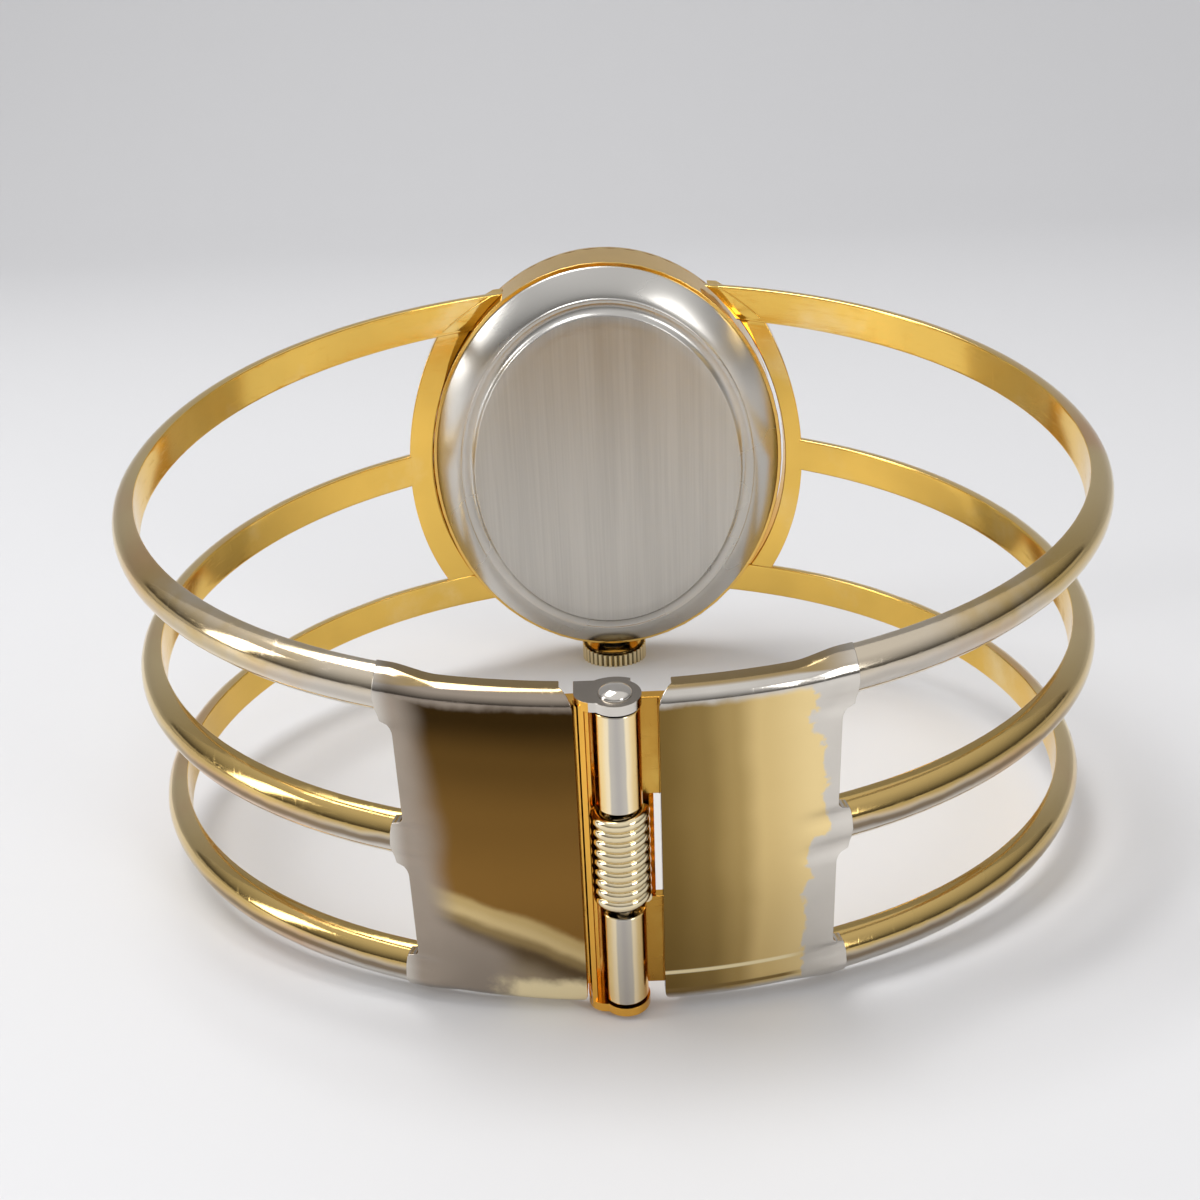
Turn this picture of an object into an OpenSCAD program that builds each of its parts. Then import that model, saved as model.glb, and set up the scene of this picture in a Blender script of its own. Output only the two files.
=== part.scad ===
// Cuff watch: a two-armed open bangle of three bars a side, with a sprung hinge at the back of the wrist
// and an oval hand-wound watch at the front. +Z is the cuff's axis and +Y points the way the dial faces.
// The origin is under the middle of the whole watch, level with the tip of the crown.

/* [Bracelet] */
// Outer half width of the cuff
cuff_half_w = 28.5; // [27:0.1:31]
// Depth from the cuff's middle to the outside of its front
front_depth = 26.8; // [26:0.1:28]
// Depth from the cuff's middle to the outside of its back
rear_depth = 24.6; // [23.5:0.1:26]
// Height over the three bars at the front
band_front_h = 24.6; // [22:0.1:26]
// Height over the three bars at the back
band_rear_h = 18.9; // [17:0.1:21]
// Height of one bar
bar_w = 2.4; // [2:0.1:3]
// Thickness of one bar, rail and plate
bar_t = 1.4; // [1.2:0.1:1.8]
// Radius of a bar's rounded outer face
bar_round_r = 1.25; // [1.22:0.01:1.4]

/* [Rear plates] */
// Half gap between the two rear plates
plate_gap = 1.95; // [1.9:0.05:2.4]
// Distance from the middle to a plate's outer end
plate_end_x = 10.5; // [8:0.1:12]
// How far a rear plate's edge stands past the hinge's ears
plate_rim = 0.1; // [0:0.05:0.4]
// Thickness of a plate's sheet
sheet_t = 0.6; // [0.5:0.05:0.8]
// Radius of a plate's rolled edges
roll_r = 0.9; // [0.7:0.05:1.2]
// Radius of a plate's corners beside the hinge
plate_corner_r = 1.2; // [0.6:0.1:2]

/* [Hinge] */
// How far the hinge's axis lies inside the back of the cuff
hinge_inset = 0.5; // [0.3:0.05:0.7]
// Radius of the hinge pin
pin_r = 0.5; // [0.4:0.05:0.55]
// Radial clearance of the pin in the knuckles
pin_clear = 0.05; // [0.03:0.01:0.08]
// Outer radius of a knuckle
knuckle_r = 1.125; // [1:0.025:1.2]
// Height over both knuckles
barrel_h = 17.4; // [16:0.1:18]
// Length of the upper knuckle
upper_knuckle_l = 5.4; // [4:0.1:6]
// Length of the lower knuckle
lower_knuckle_l = 5.5; // [4:0.1:6]
// Thickness of the yoke's ears
ear_t = 0.5; // [0.4:0.05:0.6]
// Gap between a knuckle and an ear
ear_gap = 0.15; // [0.1:0.01:0.2]
// Outer radius of the spring's curls
spring_r = 1.43; // [1.35:0.01:1.45]
// Thickness of the spring's wire
spring_wire = 0.36; // [0.3:0.01:0.38]
// Number of the spring's curls
spring_turns = 7; // [4:1:7]
// Thickness of the trough behind the spring
trough_t = 0.25; // [0.2:0.05:0.3]

/* [Case] */
// Half height of the case's flank
case_half_h = 15.35; // [14.5:0.05:16]
// Half width of the case's flank
case_half_w = 12.85; // [12.4:0.05:13.2]
// How far the case's centre lies below the middle bars
case_drop = 0.7; // [0:0.1:1.2]
// How far the flat of the case back lies behind the front of the cuff
back_inset = 5.8; // [5.6:0.1:6.2]
// Rise of the case back's sloping rim
back_rise = 1.9; // [1.7:0.1:2.1]
// Thickness of the case back
back_t = 0.5; // [0.4:0.05:0.6]
// Width of the case back's sloping rim
back_rim_w = 2.9; // [2.4:0.1:3.2]
// Depth of the case middle from back to front
middle_d = 3.7; // [3.5:0.05:4]
// Wall of the case middle
middle_wall = 1.35; // [1.2:0.05:1.5]
// Depth of the bezel
bezel_d = 1.5; // [1.4:0.05:1.8]
// Width of the bezel's sloping face
bezel_w = 2.5; // [2.2:0.1:2.8]
// Thickness of the crystal
crystal_t = 0.9; // [0.7:0.05:1.1]
// Rise of the crystal's dome
crystal_dome = 0.8; // [0.4:0.1:1]
// Thickness of the gaskets
gasket_t = 0.3; // [0.25:0.01:0.35]

/* [Case rails] */
// Half width over the fixed rail
rail_half_w = 14.45; // [14.2:0.05:14.8]
// Half height of the oval that the rails' outer edges follow
rail_half_h = 17.9; // [17.4:0.1:18.4]
// Gap between the case and the swinging rail
rail_gap = 0.2; // [0.15:0.05:0.6]
// Width of the swinging rail at its middle
right_rail_w = 1.15; // [1:0.05:1.6]

/* [Crown] */
// Radius of the crown
crown_r = 2.5; // [2.2:0.05:2.6]
// Length of the crown
crown_l = 1.75; // [1.6:0.05:2.2]
// Gap between the case and the pushed-in crown
crown_gap = 0.3; // [0.2:0.05:0.5]
// Number of flutes on the crown
crown_flutes = 36; // [24:1:44]
// Depth of a flute
flute_d = 0.12; // [0.06:0.01:0.16]
// Travel of the crown when it is pulled to set the hands
crown_travel = 0.8; // [0.5:0.05:0.9]
// Radius of the stem
stem_r = 0.5; // [0.4:0.05:0.55]
// Depth from the main plate's back to the stem's axis
stem_inset = 0.5; // [0.4:0.05:0.6]

/* [Dial and hands] */
// Thickness of the dial
dial_t = 0.35; // [0.3:0.05:0.4]
// Length of the minute hand
minute_len = 9.2; // [7:0.1:9.6]
// Length of the hour hand
hour_len = 6.2; // [5:0.1:7]
// Thickness of a hand
hand_t = 0.12; // [0.1:0.01:0.15]
// Number of hour markers
marker_count = 12; // [4:1:12]
// Width of an hour marker
marker_w = 0.45; // [0.3:0.05:0.7]

/* [Movement] */
// Radius of the movement
move_r = 8.8; // [8.7:0.05:8.9]
// Thickness of the main plate
plate_t = 0.7; // [0.6:0.05:0.75]
// Thickness of the bridges
bridge_t = 0.8; // [0.7:0.05:0.9]
// Radius of the balance wheel
balance_r = 2.7; // [2.3:0.05:2.8]
// Thickness of a train wheel
wheel_t = 0.15; // [0.12:0.01:0.2]
// Radius of a train arbor
arbor_r = 0.16; // [0.14:0.01:0.2]
// Radius of a pivot
pivot_r = 0.1; // [0.08:0.01:0.12]
// Radial clearance of the movement's running fits
run_clear = 0.03; // [0.02:0.01:0.05]

/* [Hidden] */
$fn = 72;

// The outer bars lie in planes that spread towards the front
band_slope = (band_front_h - band_rear_h) / 2 / (front_depth + rear_depth);
bar_mid_z = band_rear_h / 2 - bar_w / 2 + band_slope * rear_depth;

// The rear plates are bent to the radius of the cuff's rear end
plate_bend_r = cuff_half_w * cuff_half_w / rear_depth;
bar_rings = 30;
bar_arc_steps = 3;
oval_steps = 56;

hinge_depth = rear_depth - hinge_inset;
barrel_top = barrel_h / 2 - ear_gap;
barrel_low = -barrel_h / 2 + ear_gap;
upper_knuckle_low = barrel_top - upper_knuckle_l;
lower_knuckle_top = barrel_low + lower_knuckle_l;
knuckle_bore_r = pin_r + pin_clear;
leaf_t = knuckle_r - knuckle_bore_r;
ear_r = knuckle_r + 0.075;
leaf_reach = plate_gap + 2.6;
web_reach = plate_gap + 1.2;
foot_clear = 0.05;
ear_foot_x = plate_gap - foot_clear;
ear_tail_y = 0.8;
trough_in_r = spring_r + 0.12;
trough_from_deg = 25;
trough_to_deg = 200;
trough_web_deg = 62;
ear_corner_r = 0.9;
plate_h = barrel_h + 2 * (ear_t + plate_rim);
leaf_clear = 0.15;
leaf_h = plate_h - 2 * sheet_t - 2 * leaf_clear;
spring_room = upper_knuckle_low - lower_knuckle_top;
spring_mid_r = spring_r - spring_wire / 2;
spring_pitch = (spring_room - spring_wire - 0.2) / spring_turns;
spring_low = lower_knuckle_top + 0.1 + spring_wire / 2;
curl_rings = 8;
wire_sides = 6;
rivet_r = 0.8;
rivet_h = 0.35;

// Depths through the watch, from the back to the crystal
back_y = front_depth - back_inset;
middle_y = back_y + back_rise;
front_y = middle_y + middle_d;
bezel_front_y = front_y + bezel_d;
back_inner_y = back_y + back_t;
seat_rise = 0.35;
crystal_seat_y = front_y + seat_rise;
crystal_in_y = crystal_seat_y + gasket_t;
case_inner_h = case_half_h - middle_wall;
case_inner_w = case_half_w - middle_wall;
lip_w = 0.3;
crystal_inset = bezel_w + lip_w;
seat_w = 0.3;
bezel_open_inset = crystal_inset + seat_w;

main_rise = 3.7;
bridge_reach = 2.4;
ratchet_rise = 0.4;
ratchet_t = 0.3;
dial_rise = 1.3;
main_y = back_y + main_rise;
main_front_y = main_y + plate_t;
stem_y = main_y - stem_inset;
bridge_y = main_y - bridge_reach;
bridge_front_y = bridge_y + bridge_t;
ratchet_y = bridge_y - ratchet_rise;
dial_y = main_y + dial_rise;
motion_clear = 0.05;
motion_y = main_front_y + motion_clear;
motion_t = 0.22;
hour_hand_rise = 0.12;
hour_hand_y = dial_y + dial_t + hour_hand_rise;
minute_hand_rise = 0.15;
minute_hand_y = hour_hand_y + hand_t + minute_hand_rise;
crown_near = case_half_h + crown_gap;
crown_far = crown_near + crown_l;
low_z = -case_drop - crown_far;
crystal_top_y = crystal_in_y + crystal_t + crystal_dome;
rear_y = -hinge_depth - spring_r;
mid_y = (crystal_top_y + rear_y) / 2;

// Places in the movement, as [right, up] from its centre seen from the back
barrel_at = [-3.75, -1.36];
third_at = [0.31, 3.59];
fourth_at = [3.03, 2.60];
escape_at = [5.91, 2.85];
pallet_at = [6.30, 0.63];
balance_at = [4.90, -2.70];
minute_wheel_deg = 215;

// Depths of the train's wheels and pinions
train_pinion_l = 0.25;
center_wheel_drop = 0.35;
low_pinion_rise = 0.25;
third_wheel_rise = 0.3;
third_pinion_drop = 0.4;
fourth_wheel_rise = 0.65;
escape_pinion_rise = 0.6;
center_wheel_y = main_y - center_wheel_drop;
center_pinion_y = bridge_front_y + low_pinion_rise;
third_wheel_y = bridge_front_y + third_wheel_rise;
third_pinion_y = main_y - third_pinion_drop;
fourth_wheel_y = bridge_front_y + fourth_wheel_rise;
fourth_pinion_y = bridge_front_y + low_pinion_rise;
escape_pinion_y = bridge_front_y + escape_pinion_rise;

// Outlines of the two large bridges, which stop at the movement's edge
barrel_bridge_edge = [[-9, -9], [-9, 4.2], [-1.55, 0.93], [-1.05, -1.25], [2.3, -1.65], [2.3, -5.6],
    [3.3, -6.4], [3.3, -9]];
train_bridge_edge = [[-9, 9], [-9, 4.38], [-1.4, 1.04], [-0.9, -1.1], [2.3, -1.5], [4.0, 0.55], [9, 0.55], [9, 9]];

// Tooth counts and modules of the gears
barrel_teeth = 72;
center_leaves = 12;
barrel_mod = 0.095;
center_teeth = 64;
third_leaves = 8;
center_mod = 0.1;
third_teeth = 60;
fourth_leaves = 8;
third_mod = 0.085;
fourth_teeth = 70;
escape_leaves = 7;
fourth_mod = 0.075;
escape_teeth = 15;
escape_r = 1.9;
ratchet_teeth = 44;
crown_wheel_teeth = 48;
winding_mod = 0.1;
winding_teeth = 33;
winding_r = 1.6;
cannon_leaves = 10;
minute_teeth = 30;
minute_leaves = 8;
hour_teeth = 32;
motion_mod = 0.11;

motion_reach = (cannon_leaves + minute_teeth) * motion_mod / 2;
minute_wheel_at = motion_reach * [cos(minute_wheel_deg), sin(minute_wheel_deg)];
crown_wheel_reach = (ratchet_teeth + crown_wheel_teeth) * winding_mod / 2;
crown_wheel_at = [0, barrel_at[1] - sqrt(pow(crown_wheel_reach, 2) - pow(barrel_at[0], 2))];
winding_l = 0.8;
sliding_r = 0.95;
sliding_l = 0.9;
square_w = 0.72;

// Fits inside the case
tube_r = 0.9;
gasket_from = 0.55;
gasket_to = 0.95;
back_lip = 0.25;
back_seat_to = middle_wall + 0.35;
crown_recess_r = 1.4;
crown_recess_l = 1.05;
marker_place = 0.84;
marker_l = 1.7;

// The stem's steps, as distances below the movement's centre
square_from = 6;
square_l = 1.5;
stem_end = -4.0;
groove_from = 7.6;
groove_l = 0.3;
groove_r = 0.35;
winding_from = square_from + 0.1 + 0.8;
sliding_from = -5.9;
yoke_tip_z = -5.3;
yoke_at = [-3.2, -4.6];
lever_pin_r = 0.12;
lever_pin_x = groove_r + lever_pin_r + run_clear;
lever_pin_z = groove_l / 2 - groove_from;
lever_at = [lever_pin_x + 1.5, lever_pin_z - crown_travel / 2];

// Posts, screws and small pins of the movement
post_r = 0.42;
post_pin_r = 0.2;
screw_r = 0.2;
screw_head_t = 0.2;
jewel_r = 0.45;
center_r = 0.18;
cannon_tube_r = 0.32;
hour_tube_r = 0.5;
barrel_posts = [[-7.6, 2.9], [-6.6, -5.0], [-2.3, -7.4], [2.45, -7.2]];
train_posts = [[-2.9, 7.3], [4.3, 7.2], [-4.7, 5.7]];
cock_posts = [[4.1, -7.1], [5.8, -6.0]];
pallet_posts = [[8.0, 1.2], [7.75, -0.9]];
all_posts = concat(barrel_posts, train_posts, cock_posts, pallet_posts);

drum_clear = 0.05;
drum_y = bridge_front_y + drum_clear;
drum_h = 1.1;
drum_r = 3.25;
drum_wall = 0.15;
core_r = 0.8;
barrel_arbor_r = 0.3;
click_deg = 125;
click_at = barrel_at + 3.0 * [cos(click_deg), sin(click_deg)];
escape_drop = 0.55;
escape_y = main_y - escape_drop;
pallet_drop = 1.05;
pallet_bridge_y = main_y - pallet_drop;
pallet_bridge_t = 0.35;
cock_t = 0.5;
balance_rise = 0.95;
balance_y = bridge_y + balance_rise;
balance_t = 0.3;
roller_drop = 0.85;
roller_y = main_y - roller_drop;
roller_orbit = 0.65;
spring_rise = 0.65;
spring_y = bridge_y + spring_rise;
spring_h = 0.2;
collet_r = 0.3;
hair_r = 2.05;
stud_deg = -35;
stud_at = balance_at + (hair_r + 0.15) * [cos(stud_deg), sin(stud_deg)];
regulator_deg = stud_deg + 40;

gold = "#d9a93c";
silver_gold = "#cfc4a4";
steel = "#b9b6ae";
brass = "#c9a24a";
nickel = "#c8c6c0";
ruby = "#b3204d";
spring_blue = "#4a5a78";

// Puts what is drawn round the cuff's middle into the part's own frame
module placed() {
    translate([0, -mid_y, -low_z])
        children();
}

// Extrudes a flat shape, drawn as seen from the back, from depth y forwards
module layer(y, thick) {
    translate([0, y + thick, -case_drop])
        rotate([90, 0, 0])
            linear_extrude(thick)
                children();
}

// Turns what is drawn along +Z to run along +Y from a place in the movement
module facing(at, y) {
    translate([at[0], y, at[1] - case_drop])
        rotate([-90, 0, 0])
            children();
}

// A round piece along +Y
module rod(at, y, r, length) {
    facing(at, y)
        cylinder(r = r, h = length);
}

// Points of an oval, drawn with the long way up
function oval_points(half_h, half_w, steps = oval_steps) =
    [for (i = [0:steps - 1]) [half_w * cos(i * 360 / steps), half_h * sin(i * 360 / steps)]];

module oval(half_h, half_w) {
    polygon(oval_points(half_h, half_w));
}

// Skins a row of equal, even loops; capped closes its ends with strips, and otherwise the last loop meets the first
module skin(loops, capped = true) {
    n = len(loops);
    m = len(loops[0]);
    polyhedron(
        points = [for (loop = loops) each loop],
        faces = [
            for (i = [0:n - (capped ? 2 : 1)], k = [0:m - 1])
                each let (j = (i + 1) % n, l = (k + 1) % m)
                    [[i * m + k, j * m + k, i * m + l], [i * m + l, j * m + k, j * m + l]],
            if (capped)
                for (k = [0:m / 2 - 2], end = [0, (n - 1) * m])
                    let (a = end + k, b = end + k + 1, c = end + m - 1 - k, d = end + m - 2 - k)
                        each end == 0 ? [[a, b, c], [b, d, c]] : [[a, c, b], [b, c, d]]
        ]);
}

// An oval drawn in by inset, standing at depth y, as a loop of points in the part
function oval_loop(half_h, half_w, inset, y) =
    [for (p = oval_points(half_h - inset, half_w - inset)) [-p[0], y, p[1] - case_drop]];

// Sweeps a closed profile of [inset, depth] points round an oval
module oval_ring(half_h, half_w, profile) {
    skin([for (p = profile) oval_loop(half_h, half_w, p[0], p[1])], capped = false);
}

// A dished or domed oval from [inset, depth] points that run from one flat face to the other
module oval_dish(half_h, half_w, profile) {
    skin([for (p = profile) oval_loop(half_h, half_w, p[0], p[1])]);
}

// Teeth as a closed outline, one of them centred on the angle aim
function tooth_outline(teeth, mod, aim, root_share, tip_share) = [
    for (i = [0:teeth - 1], k = [[-root_share, -1.15], [-tip_share, 0.9], [tip_share, 0.9], [root_share, -1.15]])
        let (deg = aim + (i + k[0] / 2) * 360 / teeth, r = (teeth / 2 + k[1]) * mod)
            [r * cos(deg), r * sin(deg)]
];

module wheel_teeth(teeth, mod, aim) {
    polygon(tooth_outline(teeth, mod, aim, 0.6, 0.24));
}

module pinion_leaves(leaves, mod, aim) {
    polygon(tooth_outline(leaves, mod, aim, 0.5, 0.2));
}

function heading(from, to) = atan2(to[1] - from[1], to[0] - from[0]);

// A wheel with a rim and crossings
module spoked_wheel(teeth, mod, aim, spokes, rim) {
    root = (teeth / 2 - 1.15) * mod;
    difference() {
        wheel_teeth(teeth, mod, aim);
        difference() {
            circle(r = root - rim);
            circle(r = 3.2 * arbor_r);
            for (i = [0:spokes - 1])
                rotate(i * 360 / spokes)
                    translate([0, -arbor_r])
                        square([root, 2 * arbor_r]);
        }
    }
}

// Sweeps a closed tube along points, each with its own ring
module tube(points, r, sides) {
    last = len(points) - 1;
    function along(i) = points[min(i + 1, last)] - points[max(i - 1, 0)];
    function ring(i) =
        let (t = along(i) / norm(along(i)), u = cross(t, [0, 0, 1]) / norm(cross(t, [0, 0, 1])), w = cross(u, t))
            [for (k = [0:sides - 1]) points[i] + r * (cos(k * 360 / sides) * u - sin(k * 360 / sides) * w)];
    skin([for (i = [0:last]) ring(i)]);
}

// A point of the band at the angle turn round the cuff, inset from its outside and lift above its own plane
function band_depth(turn) = turn < 0 ? rear_depth : front_depth;
function band_point(turn, inset, row, lift) =
    let (y = (band_depth(turn) - inset) * sin(turn))
        [(cuff_half_w - inset) * cos(turn), y, row * (bar_mid_z + band_slope * y) + lift];

// Half width of a faceted oval round the case at height z
function oval_x(half_h, half_w, z) =
    let (
        step = 360 / oval_steps,
        turn = asin(max(-1, min(1, (z + case_drop) / half_h))),
        low = step * floor(turn / step),
        share = ((z + case_drop) / half_h - sin(low)) / (sin(low + step) - sin(low))
    )
        half_w * (cos(low) * (1 - share) + cos(low + step) * share);

// The angle at which a line along the band meets an oval round the case, closed in on in a few steps
function meet_turn(half_h, half_w, inset, row, lift, turn = 60, steps = 12) =
    steps == 0 ? turn
    : meet_turn(half_h, half_w, inset, row, lift,
        acos(oval_x(half_h, half_w, band_point(turn, inset, row, lift)[2]) / (cuff_half_w - inset)), steps - 1);

// A bar's section as [inset, lift] points: flat inside and round outside, with its points in level pairs
bar_crown_deg = asin(bar_w / 2 / bar_round_r);
bar_section = [
    for (i = [-bar_arc_steps:bar_arc_steps])
        [bar_t, bar_round_r * sin(bar_crown_deg * i / bar_arc_steps)],
    for (i = [bar_arc_steps:-1:-bar_arc_steps])
        let (deg = bar_crown_deg * i / bar_arc_steps)
            [bar_round_r * (1 - cos(deg)), bar_round_r * sin(deg)]
];

// Half width of the oval that a rail's outer edge follows
function rail_outer_w(side) = side > 0 ? case_half_w + rail_gap + right_rail_w : rail_half_w;

// side is 1 for the right arm and -1 for the left one, and row is 1, 0 or -1 from the top
module bar(side, row) {
    gap = side > 0 ? rail_gap : 0;
    end_h = row == 0 ? rail_half_h : case_half_h + 2 * gap;
    end_w = row == 0 ? rail_outer_w(side) : case_half_w + gap;
    from = [for (p = bar_section) -acos(plate_end_x / (cuff_half_w - p[0]))];
    to = [for (p = bar_section) meet_turn(end_h, end_w, p[0], row, p[1])];
    mirror([side > 0 ? 0 : 1, 0, 0])
        skin([for (i = [0:bar_rings])
            [for (k = [0:len(bar_section) - 1])
                band_point(from[k] + (to[k] - from[k]) * i / bar_rings, bar_section[k][0], row, bar_section[k][1])]]);
}

// A rail's corner at height z: half_h and half_w give the oval that it follows
function rail_corner(half_h, half_w, inset, z) =
    let (x = oval_x(half_h, half_w, z))
        [x, (front_depth - inset) * sin(acos(x / (cuff_half_w - inset))), z];

// A rail's end corner, in the plane of the edge of the bar in that row
function rail_end(half_h, half_w, inset, row) =
    band_point(meet_turn(half_h, half_w, inset, row, -row * bar_w / 2), inset, row, -row * bar_w / 2);

// The rail that hugs the case, from the edge of the bottom bar up to that of the top one
module rail(side) {
    gap = side > 0 ? rail_gap : 0;
    corners = [
        [case_half_h + 2 * gap, case_half_w + gap, bar_t],
        [rail_half_h, rail_outer_w(side), bar_t],
        [rail_half_h, rail_outer_w(side), 0],
        [case_half_h + 2 * gap, case_half_w + gap, 0]
    ];
    ends = [for (row = [-1, 1]) [for (c = corners) rail_end(c[0], c[1], c[2], row)]];
    from_z = max([for (p = ends[0]) p[2]]);
    to_z = min([for (p = ends[1]) p[2]]);
    mirror([side > 0 ? 0 : 1, 0, 0])
        skin([
            ends[0],
            for (i = [1 - oval_steps / 4:oval_steps / 4 - 1])
                let (z = (case_half_h + 2 * gap) * sin(i * 360 / oval_steps) - case_drop)
                    if (z > from_z + 0.1 && z < to_z - 0.1)
                        [for (c = corners) rail_corner(c[0], c[1], c[2], z)],
            ends[1]
        ]);
}

module rounded_edge_section(r, height, thick, edge) {
    translate([r - thick, -height / 2])
        square([thick - edge, height]);
    translate([r - edge - 0.01, -height / 2 + edge])
        square([edge + 0.01, height - 2 * edge]);
    for (s = [-1, 1])
        translate([r - edge, s * (height / 2 - edge)])
            circle(r = edge);
}

// Turns a section round the rear plates' bend and trims it between two planes across the cuff
module rear_bend(side, from_x, to_x) {
    mirror([side > 0 ? 0 : 1, 0, 0])
        intersection() {
            translate([0, plate_bend_r - rear_depth, 0])
                rotate([0, 0, -90])
                    rotate_extrude(angle = 40)
                        children();
            translate([from_x, -2 * rear_depth, -plate_h])
                cube([to_x - from_x, 2 * rear_depth, 2 * plate_h]);
        }
}

// A pressed rear plate with rolled top and bottom edges, open on its inside and with round corners at the hinge
module rear_plate(side) {
    intersection() {
        rear_bend(side, plate_gap, plate_end_x)
            difference() {
                rounded_edge_section(plate_bend_r, plate_h, bar_t, roll_r);
                rounded_edge_section(plate_bend_r - sheet_t, plate_h - 2 * sheet_t, bar_t, roll_r - sheet_t);
            }
        mirror([side > 0 ? 0 : 1, 0, 0])
            rotate([90, 0, 0])
                linear_extrude(2 * rear_depth) {
                    for (s = [-1, 1])
                        translate([plate_gap + plate_corner_r, s * (plate_h / 2 - plate_corner_r)])
                            circle(r = plate_corner_r);
                    translate([plate_gap, plate_corner_r - plate_h / 2])
                        square([plate_corner_r + 0.01, plate_h - 2 * plate_corner_r]);
                    translate([plate_gap + plate_corner_r, -plate_h / 2])
                        square([plate_end_x, plate_h]);
                }
    }
}

// A sheet against a rear plate's inner face
module inner_flange(side, height) {
    rear_bend(side, plate_gap, leaf_reach)
        translate([plate_bend_r - sheet_t - leaf_t, -height / 2])
            square([leaf_t, height]);
}

// A flat strap with round ends
module strap(a, b, r) {
    for (p = [a, b])
        translate(p)
            circle(r = r);
    translate(a)
        rotate(heading(a, b))
            translate([0, -r])
                square([norm(b - a), 2 * r]);
}

function toward(deg) = [cos(deg), sin(deg)];

// A toothed or plain wheel's flat shape at a place, extruded along +Y
module wheel_at(at, y, thick) {
    layer(y, thick)
        translate(at)
            children();
}

// A ribbon wound into a flat spiral
module spiral(from_r, to_r, turns, half_t, start) {
    steps = turns * 20;
    function r(i) = from_r + (to_r - from_r) * i / steps;
    polygon([
        for (i = [0:steps]) (r(i) + half_t) * toward(start + i * 18),
        for (i = [steps:-1:0]) (r(i) - half_t) * toward(start + i * 18)
    ]);
}

// A round hole or rod along the stem, between two heights measured from the case's centre
module along_stem(from_z, to_z, r) {
    translate([0, stem_y, from_z - case_drop])
        cylinder(r = r, h = to_z - from_z);
}

module at_hinge(z) {
    translate([0, -hinge_depth, z])
        children();
}

module hinge_leaf() {
    color(gold)
        placed()
            difference() {
                union() {
                    inner_flange(1, leaf_h);
                    for (span = [[barrel_low, lower_knuckle_top], [upper_knuckle_low, barrel_top]]) {
                        at_hinge(span[0])
                            cylinder(r = knuckle_r, h = span[1] - span[0]);
                        translate([0, knuckle_bore_r - hinge_depth, span[0]])
                            cube([ear_foot_x, leaf_t, span[1] - span[0]]);
                        web_low = max(span[0], -leaf_h / 2);
                        web_high = min(span[1], leaf_h / 2);
                        translate([0, knuckle_bore_r - hinge_depth, web_low])
                            cube([web_reach, leaf_t, web_high - web_low]);
                    }
                }
                at_hinge(-barrel_h)
                    cylinder(r = knuckle_bore_r, h = 2 * barrel_h);
            }
}

// An ear of the yoke from height z up, with its foot in the gap between the plates
module ear(z) {
    at_hinge(z) {
        cylinder(r = ear_r, h = ear_t);
        linear_extrude(ear_t)
            polygon([
                for (deg = [180:15:270])
                    [ear_corner_r * (1 + cos(deg)) - ear_foot_x, ear_corner_r * (1 + sin(deg)) - ear_tail_y],
                [0, -ear_tail_y],
                [0, knuckle_r],
                [-ear_foot_x, knuckle_r]
            ]);
    }
}

// The trough behind the pin, cut back beside the knuckles
module trough() {
    side_h = (barrel_h + ear_t) / 2;
    difference() {
        at_hinge(-side_h)
            rotate([0, 0, trough_from_deg])
                rotate_extrude(angle = trough_to_deg - trough_from_deg)
                    translate([trough_in_r, 0])
                        square([trough_t, 2 * side_h]);
        for (span = [[-side_h - 1, lower_knuckle_top + 0.05], [upper_knuckle_low - 0.05, side_h + 1]])
            at_hinge(span[0])
                translate([trough_in_r * cos(trough_web_deg), 0, 0])
                    cube([2 * trough_in_r, 2 * trough_in_r, span[1] - span[0]]);
    }
}

module hinge_yoke() {
    edge_x = ear_r + 0.075;
    color(gold)
        placed()
            difference() {
                union() {
                    inner_flange(-1, leaf_h);
                    translate([-web_reach, knuckle_bore_r - hinge_depth, -leaf_h / 2])
                        cube([web_reach - edge_x, leaf_t, leaf_h]);
                    translate([-ear_foot_x, knuckle_bore_r - hinge_depth, -barrel_h / 2 - ear_t])
                        cube([ear_foot_x - edge_x, leaf_t, barrel_h + 2 * ear_t]);
                    ear(barrel_h / 2);
                    ear(-barrel_h / 2 - ear_t);
                    trough();
                }
                at_hinge(-barrel_h)
                    cylinder(r = pin_r, h = 2 * barrel_h);
            }
}

module hinge_pin() {
    end = barrel_h / 2 + ear_t;
    color(silver_gold)
        placed() {
            at_hinge(-end)
                cylinder(r = pin_r, h = 2 * end);
            at_hinge(end)
                cylinder(r1 = rivet_r, r2 = rivet_r / 2, h = rivet_h);
            at_hinge(-end - rivet_h)
                cylinder(r1 = rivet_r / 2, r2 = rivet_r, h = rivet_h);
        }
}

// The spring's centre line: a helix that runs on straight for one wire diameter at each end
function curl(i) =
    let (deg = i * 360 / curl_rings)
        [spring_mid_r * cos(deg), spring_mid_r * sin(deg), spring_low + spring_pitch * i / curl_rings];
spring_line = [
    curl(0) + [0, -spring_wire, 0],
    for (i = [0:spring_turns * curl_rings]) curl(i),
    curl(spring_turns * curl_rings) + [0, spring_wire, 0]
];
spring_gap = min([for (i = [0:len(spring_line) - 5], j = [i + 4:len(spring_line) - 1])
    norm(spring_line[i] - spring_line[j])]) - spring_wire;
echo(spring_least_gap = spring_gap);

module hinge_spring() {
    color(silver_gold)
        placed()
            at_hinge(0)
                tube(spring_line, spring_wire / 2, wire_sides);
}

module case_middle() {
    color(gold)
        placed()
            difference() {
                layer(middle_y, middle_d)
                    difference() {
                        oval(case_half_h, case_half_w);
                        oval(case_inner_h, case_inner_w);
                    }
                layer(middle_y, gasket_t)
                    gasket_outline();
                along_stem(-case_half_h - 1, 1 - case_inner_h, tube_r);
            }
}

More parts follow.
